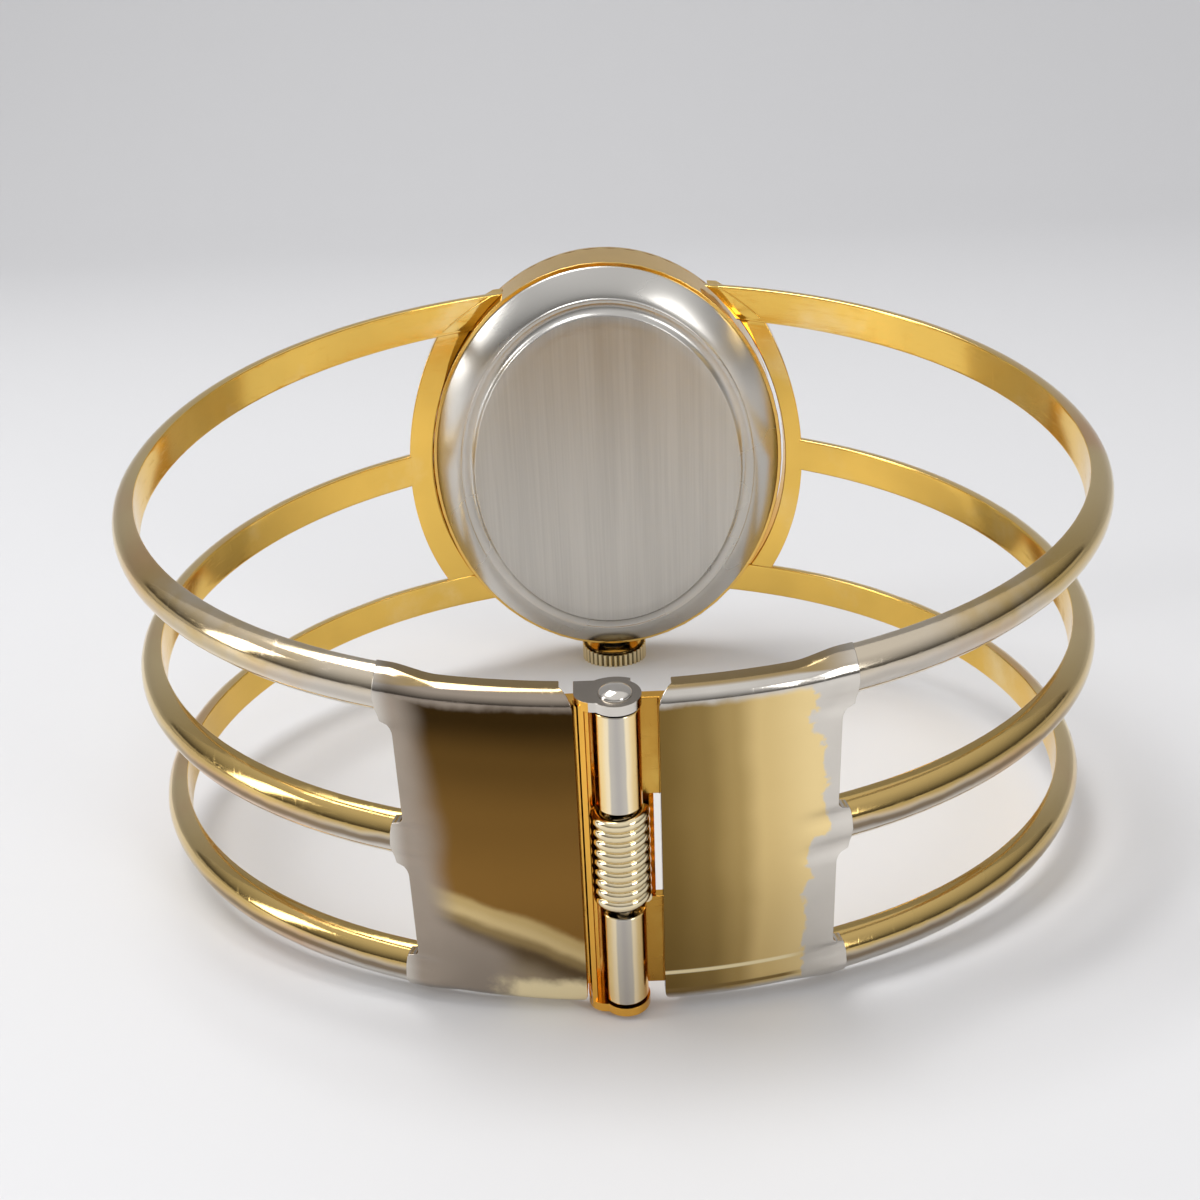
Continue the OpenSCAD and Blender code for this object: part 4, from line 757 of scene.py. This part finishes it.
def smooth_bar(node, edge):
    """A bar's copy in four-sided faces, with round long edges and ends that run into what they meet."""
    bm = copied(node, 0.01)
    bmesh.ops.join_triangles(
        bm, faces=bm.faces[:], angle_face_threshold=radians(40), angle_shape_threshold=radians(60))
    bm.normal_update()

    def is_end(face):
        return abs(face.normal.dot(along_cuff(face.calc_center_median()))) > 0.6

    ends = [f for f in bm.faces if is_end(f)]
    for vert in {v for f in ends for v in f.verts}:
        ahead = along_cuff(vert.co)
        outward = sum((f.normal for f in vert.link_faces if f in ends), Vector())
        vert.co += ahead * (BAR_RUN_IN if outward.dot(ahead) > 0 else -BAR_RUN_IN)
    long_edges = [e for e in bm.edges if len(e.link_faces) == 2 and e.calc_face_angle(0) > radians(40)
                  and not any(f in ends for f in e.link_faces)]
    bmesh.ops.bevel(bm, geom=long_edges, offset=edge, offset_type="OFFSET", segments=2,
                    profile=0.5, affect="EDGES", clamp_overlap=True, material=-1)
    bm.normal_update()
    crease = bm.edges.layers.float.get("crease_edge") or bm.edges.layers.float.new("crease_edge")
    for bar_edge in {e for f in bm.faces if is_end(f) for e in f.edges}:
        bar_edge[crease] = 1.0
        bar_edge.smooth = False
    return bm


class CUFF_OT_bars(bpy.types.Operator):
    """Smooths the six bars and gives their inner and outer faces their own gold"""
    bl_idname = "cuff.bars"
    bl_label = "Bars"

    def execute(self, context):
        sizes = context.scene.cuff_sizes
        for side in SIDES:
            for row in BAR_ROWS:
                node = f"{side}_{row}_bar"
                bm = smooth_bar(node, sizes.edge)
                for face in bm.faces:
                    middle = face.calc_center_median()
                    inward = Vector((-middle.x, -middle.y, 0)).normalized()
                    if face.normal.dot(inward) > 0.5:
                        face.material_index = 1
                piece = new_piece(f"{node}_smooth", bm, ["Outer gold", "Inner gold"])
                smooth = piece.modifiers.new("Smooth", "SUBSURF")
                smooth.levels = 1
                smooth.render_levels = 1
                finish_piece(piece, ARM_BODY[side], "champagne_gold", node)
        return {"FINISHED"}


class CUFF_OT_rails(bpy.types.Operator):
    """Pulls the two rails up beside the case, each to a point over the end of its top bar"""
    bl_idname = "cuff.rails"
    bl_label = "Rails"

    def execute(self, context):
        sizes = context.scene.cuff_sizes
        for side in SIDES:
            piece = new_piece(f"{side}_rail_smooth", self.pulled(side, sizes), ["Inner gold"], 50)
            add_bevel(piece, sizes.edge, 50)
            finish_piece(piece, ARM_BODY[side], "polished_gold", f"{side}_rail")
        return {"FINISHED"}

    def pulled(self, side, sizes):
        low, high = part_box(f"{side}_rail")
        reach = max(abs(low.x), abs(high.x))
        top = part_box(f"{side}_top_bar")[1].z - 0.03 * MM
        bottom = low.z - 0.15 * MM
        steps = 64
        bm = bmesh.new()
        ring = bmesh.ops.create_circle(bm, cap_ends=False, radius=1, segments=4)["verts"]
        loop_move(ring, self.section(bottom, top, reach, side, sizes))
        for i in range(1, steps + 1):
            z = bottom + (top - bottom) * i / steps
            ring = pulled_ring(bm, ring, self.section(z, top, reach, side, sizes))
        bmesh.ops.holes_fill(bm, edges=[e for e in bm.edges if e.is_boundary], sides=4)
        bmesh.ops.recalc_face_normals(bm, faces=bm.faces[:])
        return bm

    def section(self, z, top, reach, side, sizes):
        """The rail's four corners at height z. It narrows to its tip and sinks a little over the top bar."""
        gap = sizes.gap if side == "right" else 0.0
        up = z - case_at.z
        near = (case_half_w + gap) * sqrt(1 - (up / (case_half_h + 2 * gap)) ** 2)
        far = reach * sqrt(1 - (up / sizes.oval) ** 2)
        share = max(0.0, (z - top + sizes.bar) / sizes.bar)
        far += (near + sizes.tip - far) * share
        lift = 0.16 * MM * min(1.0, share * 5)
        corners = []
        for x, inset in ((near, sizes.thick + lift), (far, sizes.thick + lift), (far, lift), (near, lift)):
            y = cuff_y(sizes) + (sizes.front - inset) * sqrt(1 - (x / (cuff_half_w - inset)) ** 2)
            corners.append(Vector((x * SIDES[side], y, z)))
        return corners


def cuff_y(sizes):
    """Depth of the cuff's middle."""
    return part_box("left_rear_plate")[0].y + sizes.rear


def eased(share):
    """A share kept from 0 to 1, with a soft start and end."""
    share = min(1.0, max(0.0, share))
    return share * share * (3 - 2 * share)


class CUFF_OT_rear_plates(bpy.types.Operator):
    """Presses the two rear plates with rolled edges, round corners and hollow blends into the bars"""
    bl_idname = "cuff.rear_plates"
    bl_label = "Rear plates"

    def execute(self, context):
        sizes = context.scene.cuff_sizes
        for side in SIDES:
            node = f"{side}_rear_plate"
            materials = [f"{side.capitalize()} plate", "Inner gold"]
            piece = new_piece(f"{node}_pressed", self.pressed(sizes, node, SIDES[side]), materials)
            solid = piece.modifiers.new("Sheet", "SOLIDIFY")
            solid.thickness = sizes.sheet
            solid.offset = -1.0
            solid.use_even_offset = False
            solid.material_offset = 1
            add_bevel(piece, 0.12 * MM, 50)
            finish_piece(piece, ARM_BODY[side], "champagne_gold", node)
        return {"FINISHED"}

    def pressed(self, sizes, node, side):
        """The sheet's outside as a grid, pulled into its pressed shape."""
        low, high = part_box(node)
        near, far = sorted((abs(low.x), abs(high.x)))
        mid_z = (high.z + low.z) / 2
        middle_y = cuff_y(sizes)
        bend = cuff_half_w ** 2 / sizes.rear
        blend_x = far - sizes.blend
        columns = 38
        flat_columns = 20
        rows = self.rows(sizes, (high.z - low.z) / 2)
        bm = bmesh.new()
        bmesh.ops.create_grid(bm, x_segments=columns, y_segments=len(rows) - 1, size=1.0)
        across = sorted({round(v.co.x, 6) for v in bm.verts})
        downward = sorted({round(v.co.y, 6) for v in bm.verts}, reverse=True)
        for vert in bm.verts:
            column = across.index(round(vert.co.x, 6))
            z, inset, end_z, end_inset, lean, turned = rows[downward.index(round(vert.co.y, 6))]
            if column <= flat_columns:
                start = near + sizes.corner * (1 - sqrt(1 - turned ** 2))
                x = start + (blend_x - start) * column / flat_columns
            else:
                reach = far + self.reach(z, lean, sizes)
                x = blend_x + (reach - blend_x) * (column - flat_columns) / (columns - flat_columns)
            share = eased((x - blend_x) / sizes.blend)
            here_inset = inset + (end_inset - inset) * share
            here_z = z + (end_z - z) * share
            proud = sizes.proud * share
            plate_y = (bend - sizes.rear) - sqrt((bend - here_inset) ** 2 - x * x)
            bar_y = -(sizes.rear - here_inset) * sqrt(1 - (x / (cuff_half_w - here_inset)) ** 2)
            y = plate_y + (bar_y - plate_y) * share - proud * cos(lean)
            vert.co = Vector((side * x, middle_y + y, mid_z + here_z + proud * sin(lean)))
        bmesh.ops.recalc_face_normals(bm, faces=bm.faces[:])
        bm.normal_update()
        middle = min(bm.faces, key=lambda f: abs(f.calc_center_median().z - mid_z))
        if middle.normal.y > 0:
            bmesh.ops.reverse_faces(bm, faces=bm.faces[:])
        return bm

    def rows(self, sizes, half_h):
        """The grid's rows from the top down, counted from the plate's middle.

        Each has a height and an inset on the plate, both again at its outer end, the lean of the bar's crown
        there and how far the rolled edge has turned, from 0 to 1.
        """
        roll, crown = sizes.roll, sizes.crown
        rows = []
        for i in range(3):
            inset = sizes.thick - i * (sizes.thick - roll) / 2
            rows.append((half_h, inset, sizes.rise + sizes.bar / 2, inset, pi / 2, 1.0))
        for deg in range(75, -1, -15):
            lean = radians(END_LEAN[0] + deg * (END_LEAN[1] - END_LEAN[0]) / 90)
            turned = sin(radians(deg))
            rows.append((half_h - roll + roll * turned, roll * (1 - cos(radians(deg))),
                         sizes.rise + crown * sin(lean), crown * (1 - cos(lean)), lean, turned))
        for z in self.face_rows(sizes):
            rows.append((z, 0.0, z, self.end_inset(z, sizes), 0.0, 0.0))
        return rows + [(-z, inset, -end_z, end_inset, -lean, turned)
                       for z, inset, end_z, end_inset, lean, turned in reversed(rows) if z > 0]

    def face_rows(self, sizes):
        """Heights of the grid's rows over the flat of the plate, closer together beside the bars."""
        low_edge = sizes.bar / 2
        high_edge = sizes.rise - low_edge
        gap = high_edge - low_edge - 2 * sizes.fillet
        marks = [sizes.rise - 0.5 * MM, sizes.rise - 0.9 * MM, high_edge]
        marks += [high_edge - sizes.fillet * i / 5 for i in range(1, 6)]
        marks += [high_edge - sizes.fillet - gap * i / 4 for i in range(1, 4)]
        marks += [low_edge + sizes.fillet * i / 5 for i in range(5, 0, -1)]
        return marks + [low_edge, low_edge * 0.75, low_edge * 0.45, 0.0]

    def end_inset(self, z, sizes):
        """How far the sheet's outer end lies inside the crown of the bars at height z."""
        off = min(abs(abs(z) - sizes.rise), abs(z))
        ridge = 0.62 * sizes.bar / 2
        if off < ridge:
            return sizes.crown - sqrt(sizes.crown ** 2 - off ** 2)
        rest = sizes.crown - sqrt(sizes.crown ** 2 - ridge ** 2)
        return rest * (1 - eased((off - ridge) / (sizes.bar / 2 + sizes.fillet - ridge)))

    def reach(self, z, lean, sizes):
        """How far the sheet runs past the plate's end at height z."""
        off = min(abs(abs(z) - sizes.rise), abs(z)) / (sizes.bar / 2)
        if lean:
            off = abs(sin(lean)) * 0.999
        if off < 1:
            return sizes.fillet + (sizes.tongue - sizes.fillet) * (1 - off ** 2)
        short = sizes.fillet - (off - 1) * sizes.bar / 2
        return sizes.fillet - sqrt(sizes.fillet ** 2 - short ** 2) if short > 0 else 0.0


class CUFF_OT_hinge(bpy.types.Operator):
    """Rounds the hinge's leaves and pin, and winds its spring"""
    bl_idname = "cuff.hinge"
    bl_label = "Hinge"

    def execute(self, context):
        sizes = context.scene.cuff_hinge
        yoke = refined(
            "hinge_yoke_round", "hinge_yoke", ["Hinge gold", "Ear silver", "Rivet silver"], sizes.edge)
        ear_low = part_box("hinge_yoke")[1].z - sizes.ear
        ear_half_w = 1.25 * MM
        # The ear's top faces take the dark ear silver and its other faces the bright rivet silver: painted
        # shade on the top and a painted highlight on its walls.
        for face in yoke.data.polygons:
            if face.center.z > ear_low and abs(face.center.x - hinge_at.x) < ear_half_w:
                face.material_index = 1 if face.normal.z > 0.7 else 2
        finish_piece(yoke, "watch", "hinge_metal", "hinge_yoke")
        leaf = refined("hinge_leaf_round", "hinge_leaf", ["Knuckle gold", "Flange gold"], sizes.edge)
        knuckle_half_w = 1.2 * MM
        # Faces away from the knuckle take the darker flange gold, a painted shade.
        for face in leaf.data.polygons:
            if abs(face.center.x - hinge_at.x) > knuckle_half_w:
                face.material_index = 1
        finish_piece(leaf, "right_arm", "hinge_metal", "hinge_leaf")
        finish_piece(self.riveted(sizes), "watch", "hinge_metal", "hinge_pin")
        finish_piece(self.wound(sizes), "watch", "hinge_metal", "hinge_spring")
        return {"FINISHED"}

    def riveted(self, sizes):
        """The pin with a domed head at each end, spun from half of its outline."""
        low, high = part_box("hinge_pin")
        head = (high.x - low.x) / 2
        seat_low, seat_high = (corner.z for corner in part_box("hinge_yoke"))
        dome = [(cos(radians(deg)), sin(radians(deg))) for deg in range(0, 91, 10)]
        outline = [(head * out, seat_high + (high.z - seat_high) * up) for out, up in reversed(dome)]
        outline += [(sizes.shaft, seat_high), (sizes.shaft, seat_low)]
        outline += [(head * out, seat_low - (seat_low - low.z) * up) for out, up in dome]
        bm = bmesh.new()
        points = [bm.verts.new((hinge_at.x + r, hinge_at.y, z)) for r, z in outline]
        edges = [bm.edges.new(pair) for pair in zip(points, points[1:])]
        bmesh.ops.spin(bm, geom=points + edges, cent=(hinge_at.x, hinge_at.y, 0), axis=(0, 0, 1),
                       angle=2 * pi, steps=48, use_merge=True, use_duplicate=False)
        bmesh.ops.remove_doubles(bm, verts=bm.verts[:], dist=1e-6)
        bmesh.ops.recalc_face_normals(bm, faces=bm.faces[:])
        return new_piece("hinge_pin_riveted", bm, ["Rivet silver"], smooth_deg=40)

    def wound(self, sizes):
        """A close coil, drawn round from one small circle by a rising spin."""
        low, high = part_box("hinge_spring")
        half_wire = sizes.wire / 2
        centre = Vector((hinge_at.x, hinge_at.y, 0))
        start = centre + Vector(((high.x - low.x) / 2 - half_wire, 0, low.z + half_wire))
        steps = 28 * sizes.turns
        bm = bmesh.new()
        ring = bmesh.ops.create_circle(
            bm, cap_ends=True, radius=half_wire, segments=12,
            matrix=Matrix.Translation(start) @ Matrix.Rotation(pi / 2, 4, "X"))["verts"]
        faces = list({f for v in ring for f in v.link_faces})
        edges = list({e for v in ring for e in v.link_edges})
        bmesh.ops.spin(bm, geom=faces + ring + edges, cent=centre, axis=(0, 0, 1),
                       dvec=(0, 0, (high.z - low.z - sizes.wire) / steps), angle=2 * pi * sizes.turns,
                       steps=steps, use_duplicate=False)
        bmesh.ops.recalc_face_normals(bm, faces=bm.faces[:])
        return new_piece("hinge_spring_wound", bm, ["Spring steel"], smooth_deg=60)


class CUFF_OT_case(bpy.types.Operator):
    """Turns the case back, the bezel and the crystal smooth, and rounds the case middle"""
    bl_idname = "cuff.case"
    bl_label = "Case"

    def execute(self, context):
        sizes = context.scene.cuff_case
        flank = refined("case_middle_round", "case_middle", ["Flank gold"], sizes.edge)
        finish_piece(flank, "watch", "polished_gold", "case_middle")
        self.back(sizes)
        self.bezel(sizes)
        self.crystal(sizes)
        return {"FINISHED"}

    def back(self, sizes):
        """The flat, the rounded step round it, the slope down to the case and the hollow inside."""
        y, inner_y = depth_of("case_back")
        margin = sizes.margin * TO_MM
        deep = (inner_y - y) * TO_MM
        step = [(margin + inset, depth) for inset, depth in (
            (1.1, 0.0), (0.08, 0.0), (0.03, 0.02), (-0.04, 0.10), (-0.12, 0.24), (-0.26, 0.36), (-0.45, 0.43),
            (-0.68, 0.46), (-0.80, 0.45), (-0.86, 0.41), (-0.94, 0.41), (-1.0, 0.46))]
        slope = [(2.12 - 1.72 * i / 12, 0.52 + (deep - 0.77) * (i / 12) ** 1.3) for i in range(13)]
        inside = [(0.34, deep - 0.2), (0.27, deep - 0.12), (0.25, deep), (1.7, deep),
                  (margin + 0.3, 0.8), (margin + 0.6, 0.55)]
        profile = in_mm(y, step + slope + inside)
        bm = oval_lathe(profile, case_half_w, case_half_h, case_at, sizes.steps, capped=True)
        bm.normal_update()
        flat_w = case_half_w - sizes.margin - 0.08 * MM
        flat_h = case_half_h - sizes.margin - 0.08 * MM
        for face in bm.faces:
            off = face.calc_center_median() - case_at
            if (off.x / flat_w) ** 2 + (off.z / flat_h) ** 2 < 1.0:
                face.material_index = 1
        piece = new_piece("case_back_turned", bm, ["Polished back", "Brushed back"], smooth_deg=40)
        finish_piece(piece, "watch", "case_back_steel", "case_back")

    def bezel(self, sizes):
        """A small step beside the case, a dome up to the front and the seat for the crystal."""
        y, front_y = depth_of("bezel")
        tall = (front_y - y) * TO_MM
        step = [(0.0, 0.0), (0.0, 0.25), (0.04, 0.36), (0.14, 0.46)]
        dome = [(0.2 + 2.1 * i / 8, 0.5 + (tall - 0.55) * sin(pi / 2 * i / 8)) for i in range(9)]
        seat = [(2.5, tall), (2.72, tall), (2.8, tall - 0.06), (2.8, 0.35), (3.1, 0.35), (3.1, 0.1),
                (1.35, 0.1), (1.35, 0.0)]
        profile = in_mm(y, step + dome + seat)
        bm = oval_lathe(profile, case_half_w, case_half_h, case_at, sizes.steps, closed=True)
        piece = new_piece("bezel_turned", bm, ["Flank gold"], smooth_deg=30)
        finish_piece(piece, "watch", "polished_gold", "bezel")

    def crystal(self, sizes):
        """A flat inside, a low edge and a domed front."""
        y, front_y = depth_of("crystal")
        edge_y = y + 0.9 * MM
        profile = [(0, y, share) for share in (0.0, 0.25, 0.5, 0.75, 0.93, 1.0)]
        profile += [(0, edge_y - 0.08 * MM), (0.05 * MM, edge_y)]
        profile += [(0, edge_y + (front_y - edge_y) * (1 - share ** 2), share)
                    for share in (0.95, 0.85, 0.7, 0.5, 0.3, 0.12, 0.0)]
        bm = oval_lathe(profile, *oval_of("crystal"), middle_of("crystal"), sizes.steps, capped=True)
        piece = new_piece("crystal_domed", bm, ["Crystal"], smooth_deg=50)
        finish_piece(piece, "watch", "crystal", "crystal")


class CUFF_OT_crown(bpy.types.Operator):
    """Rounds the crown's flutes and edges"""
    bl_idname = "cuff.crown"
    bl_label = "Crown"

    def execute(self, context):
        sizes = context.scene.cuff_case
        piece = refined("crown_round", "crown", ["Crown gold"], sizes.edge * 0.6, 25)
        finish_piece(piece, "crown_knob", "polished_gold", "crown")
        return {"FINISHED"}


def paint_nodes(groups):
    """Gives CAD nodes their finish."""
    for finish, names in groups.items():
        for name in names:
            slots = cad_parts[name].data.materials
            if not slots:
                slots.append(bpy.data.materials[finish])
            for i in range(len(slots)):
                slots[i] = bpy.data.materials[finish]


class CUFF_OT_dial(bpy.types.Operator):
    """Finishes the dial, its markers and its hands"""
    bl_idname = "cuff.dial"
    bl_label = "Dial and hands"

    def execute(self, context):
        paint_nodes({"Silvered dial": ["dial"]})
        for name, node, body, slot, finish, edge in (
                ("hour_markers_cut", "hour_markers", "watch", "gilt", "Flank gold", 0.05),
                ("hour_hand_cut", "hour_hand", "hours", "hand_paint", "Hand paint", 0.03),
                ("minute_hand_cut", "minute_hand", "minutes", "hand_paint", "Hand paint", 0.03)):
            piece = refined(name, node, [finish], edge * MM)
            finish_piece(piece, body, slot, node)
        return {"FINISHED"}


class CUFF_OT_inside(bpy.types.Operator):
    """Finishes the gaskets, the stem and the movement inside the case"""
    bl_idname = "cuff.inside"
    bl_label = "Inside the case"

    def execute(self, context):
        paint_nodes({
            "Gasket rubber": ["case_back_gasket", "crystal_gasket", "crown_gasket"],
            "Movement steel": [
                "crown_tube", "winding_stem", "barrel_arbor", "ratchet_wheel", "crown_wheel",
                "crown_wheel_core", "click", "escape_wheel", "pallet_fork", "regulator",
                "cannon_pinion", "winding_pinion", "sliding_pinion", "setting_lever", "yoke_lever"],
            "Movement nickel": [
                "main_plate", "barrel_bridge", "train_bridge", "balance_cock", "pallet_bridge"],
            "Movement brass": [
                "movement_ring", "barrel_drum", "center_wheel", "third_wheel", "fourth_wheel",
                "balance_wheel", "minute_wheel", "hour_wheel"],
            "Blued steel": ["bridge_screws", "mainspring", "click_spring", "hairspring"],
            "Ruby": ["jewels"],
        })
        return {"FINISHED"}


class CUFF_OT_stage(bpy.types.Operator):
    """Lays the floor under the crown and the plates, raises the backdrop and lights them"""
    bl_idname = "cuff.stage"
    bl_label = "Stage"

    def execute(self, context):
        look = context.scene.cuff_stage
        self.floor(look)
        for name, strength, place, width, height in LAMPS:
            self.lamp(name, getattr(look, strength), Vector(place), width, height)
        self.sky(context)
        context.scene.view_settings.view_transform = "Standard"
        return {"FINISHED"}

    def floor(self, look):
        """A plain sheet that bends up behind the watch, tilted to touch the crown and the hinge pin."""
        front = Vector((0, middle_of("crown").y + 1.0 * MM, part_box("crown")[0].z))
        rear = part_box("hinge_pin")[0]
        lean = atan2(front.z - rear.z, front.y - rear.y)
        bm = bmesh.new()
        for vert in bmesh.ops.create_grid(bm, x_segments=1, y_segments=1, size=1.0)["verts"]:
            vert.co = Vector((vert.co.x * FLOOR_SIDE, FLOOR_NEAR if vert.co.y < 0 else FLOOR_FAR, 0.0))
        edge = [e for e in bm.edges if all(v.co.y > 0 for v in e.verts)]
        bend = [radians(7.5 * i) for i in range(1, 13)]
        places = [(FLOOR_FAR + FLOOR_BEND * sin(turn), FLOOR_BEND * (1 - cos(turn))) for turn in bend]
        places.append((FLOOR_FAR + FLOOR_BEND, FLOOR_BEND + WALL))
        for y, z in places:
            grown = bmesh.ops.extrude_edge_only(bm, edges=edge)["geom"]
            edge = [g for g in grown if isinstance(g, bmesh.types.BMEdge)]
            for vert in (g for g in grown if isinstance(g, bmesh.types.BMVert)):
                vert.co.y = y
                vert.co.z = z
        bmesh.ops.transform(
            bm, matrix=Matrix.Translation(front) @ Matrix.Rotation(lean, 4, "X"), verts=bm.verts[:])
        paint = Paint("Floor", 0.0, 0.55)
        paint.base(paint.mix(paint.noise(6.0, 2.0), scaled(look.floor, 0.99), scaled(look.floor, 1.01)))
        floor = new_piece("floor", bm, ["Floor"])
        floor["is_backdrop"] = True

    def lamp(self, name, strength, place, width, height):
        data = bpy.data.lights.new(name, "AREA")
        data.shape = "RECTANGLE"
        data.size = width
        data.size_y = height
        data.energy = strength
        lamp = bpy.data.objects.new(name, data)
        bpy.context.scene.collection.objects.link(lamp)
        lamp.location = place
        lamp.rotation_euler = (LAMP_AIM - place).to_track_quat("-Z", "Y").to_euler()

    def sky(self, context):
        world = bpy.data.worlds.new("Studio")
        context.scene.world = world
        world.use_nodes = True
        tree = Tree(world.node_tree, "Generated")
        background = tree.nodes["Background"]
        tree.put(tree.ramp(tree.split()[2], *SKY, blend="LINEAR"), background.inputs["Color"])
        background.inputs["Strength"].default_value = 1.0


class CUFF_PT_panel(bpy.types.Panel):
    """Lists the sizes, finishes and steps of the cuff watch"""
    bl_idname = "CUFF_PT_panel"
    bl_label = "Cuff watch"
    bl_space_type = "VIEW_3D"
    bl_region_type = "UI"
    bl_category = "Cuff watch"

    def draw(self, context):
        for key in GROUPS:
            group = getattr(context.scene, key)
            box = self.layout.box()
            for name in group.__annotations__:
                box.prop(group, name)
        for operator in STEPS:
            self.layout.operator(operator.bl_idname)


GROUPS = {"cuff_sizes": CuffSizes, "cuff_hinge": HingeSizes, "cuff_case": CaseSizes,
          "cuff_finishes": Finishes, "cuff_stage": StageSettings}
STEPS = (CUFF_OT_camera, CUFF_OT_bars, CUFF_OT_rails, CUFF_OT_rear_plates, CUFF_OT_hinge, CUFF_OT_case,
         CUFF_OT_crown, CUFF_OT_dial, CUFF_OT_inside, CUFF_OT_stage)
CLASSES = (*GROUPS.values(), *STEPS, CUFF_PT_panel)


def register():
    for item in CLASSES:
        bpy.utils.register_class(item)
    for name, group in GROUPS.items():
        setattr(bpy.types.Scene, name, PointerProperty(type=group))


def unregister():
    for name in GROUPS:
        delattr(bpy.types.Scene, name)
    for item in reversed(CLASSES):
        bpy.utils.unregister_class(item)


def main():
    register()
    make_materials()
    for step in STEPS:
        group, action = step.bl_idname.split(".")
        getattr(getattr(bpy.ops, group), action)()
    low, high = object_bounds()
    {"cad": [list(cad_low), list(cad_high)], "visual": [list(low), list(high)]}


if __name__ == "__main__":
    main()
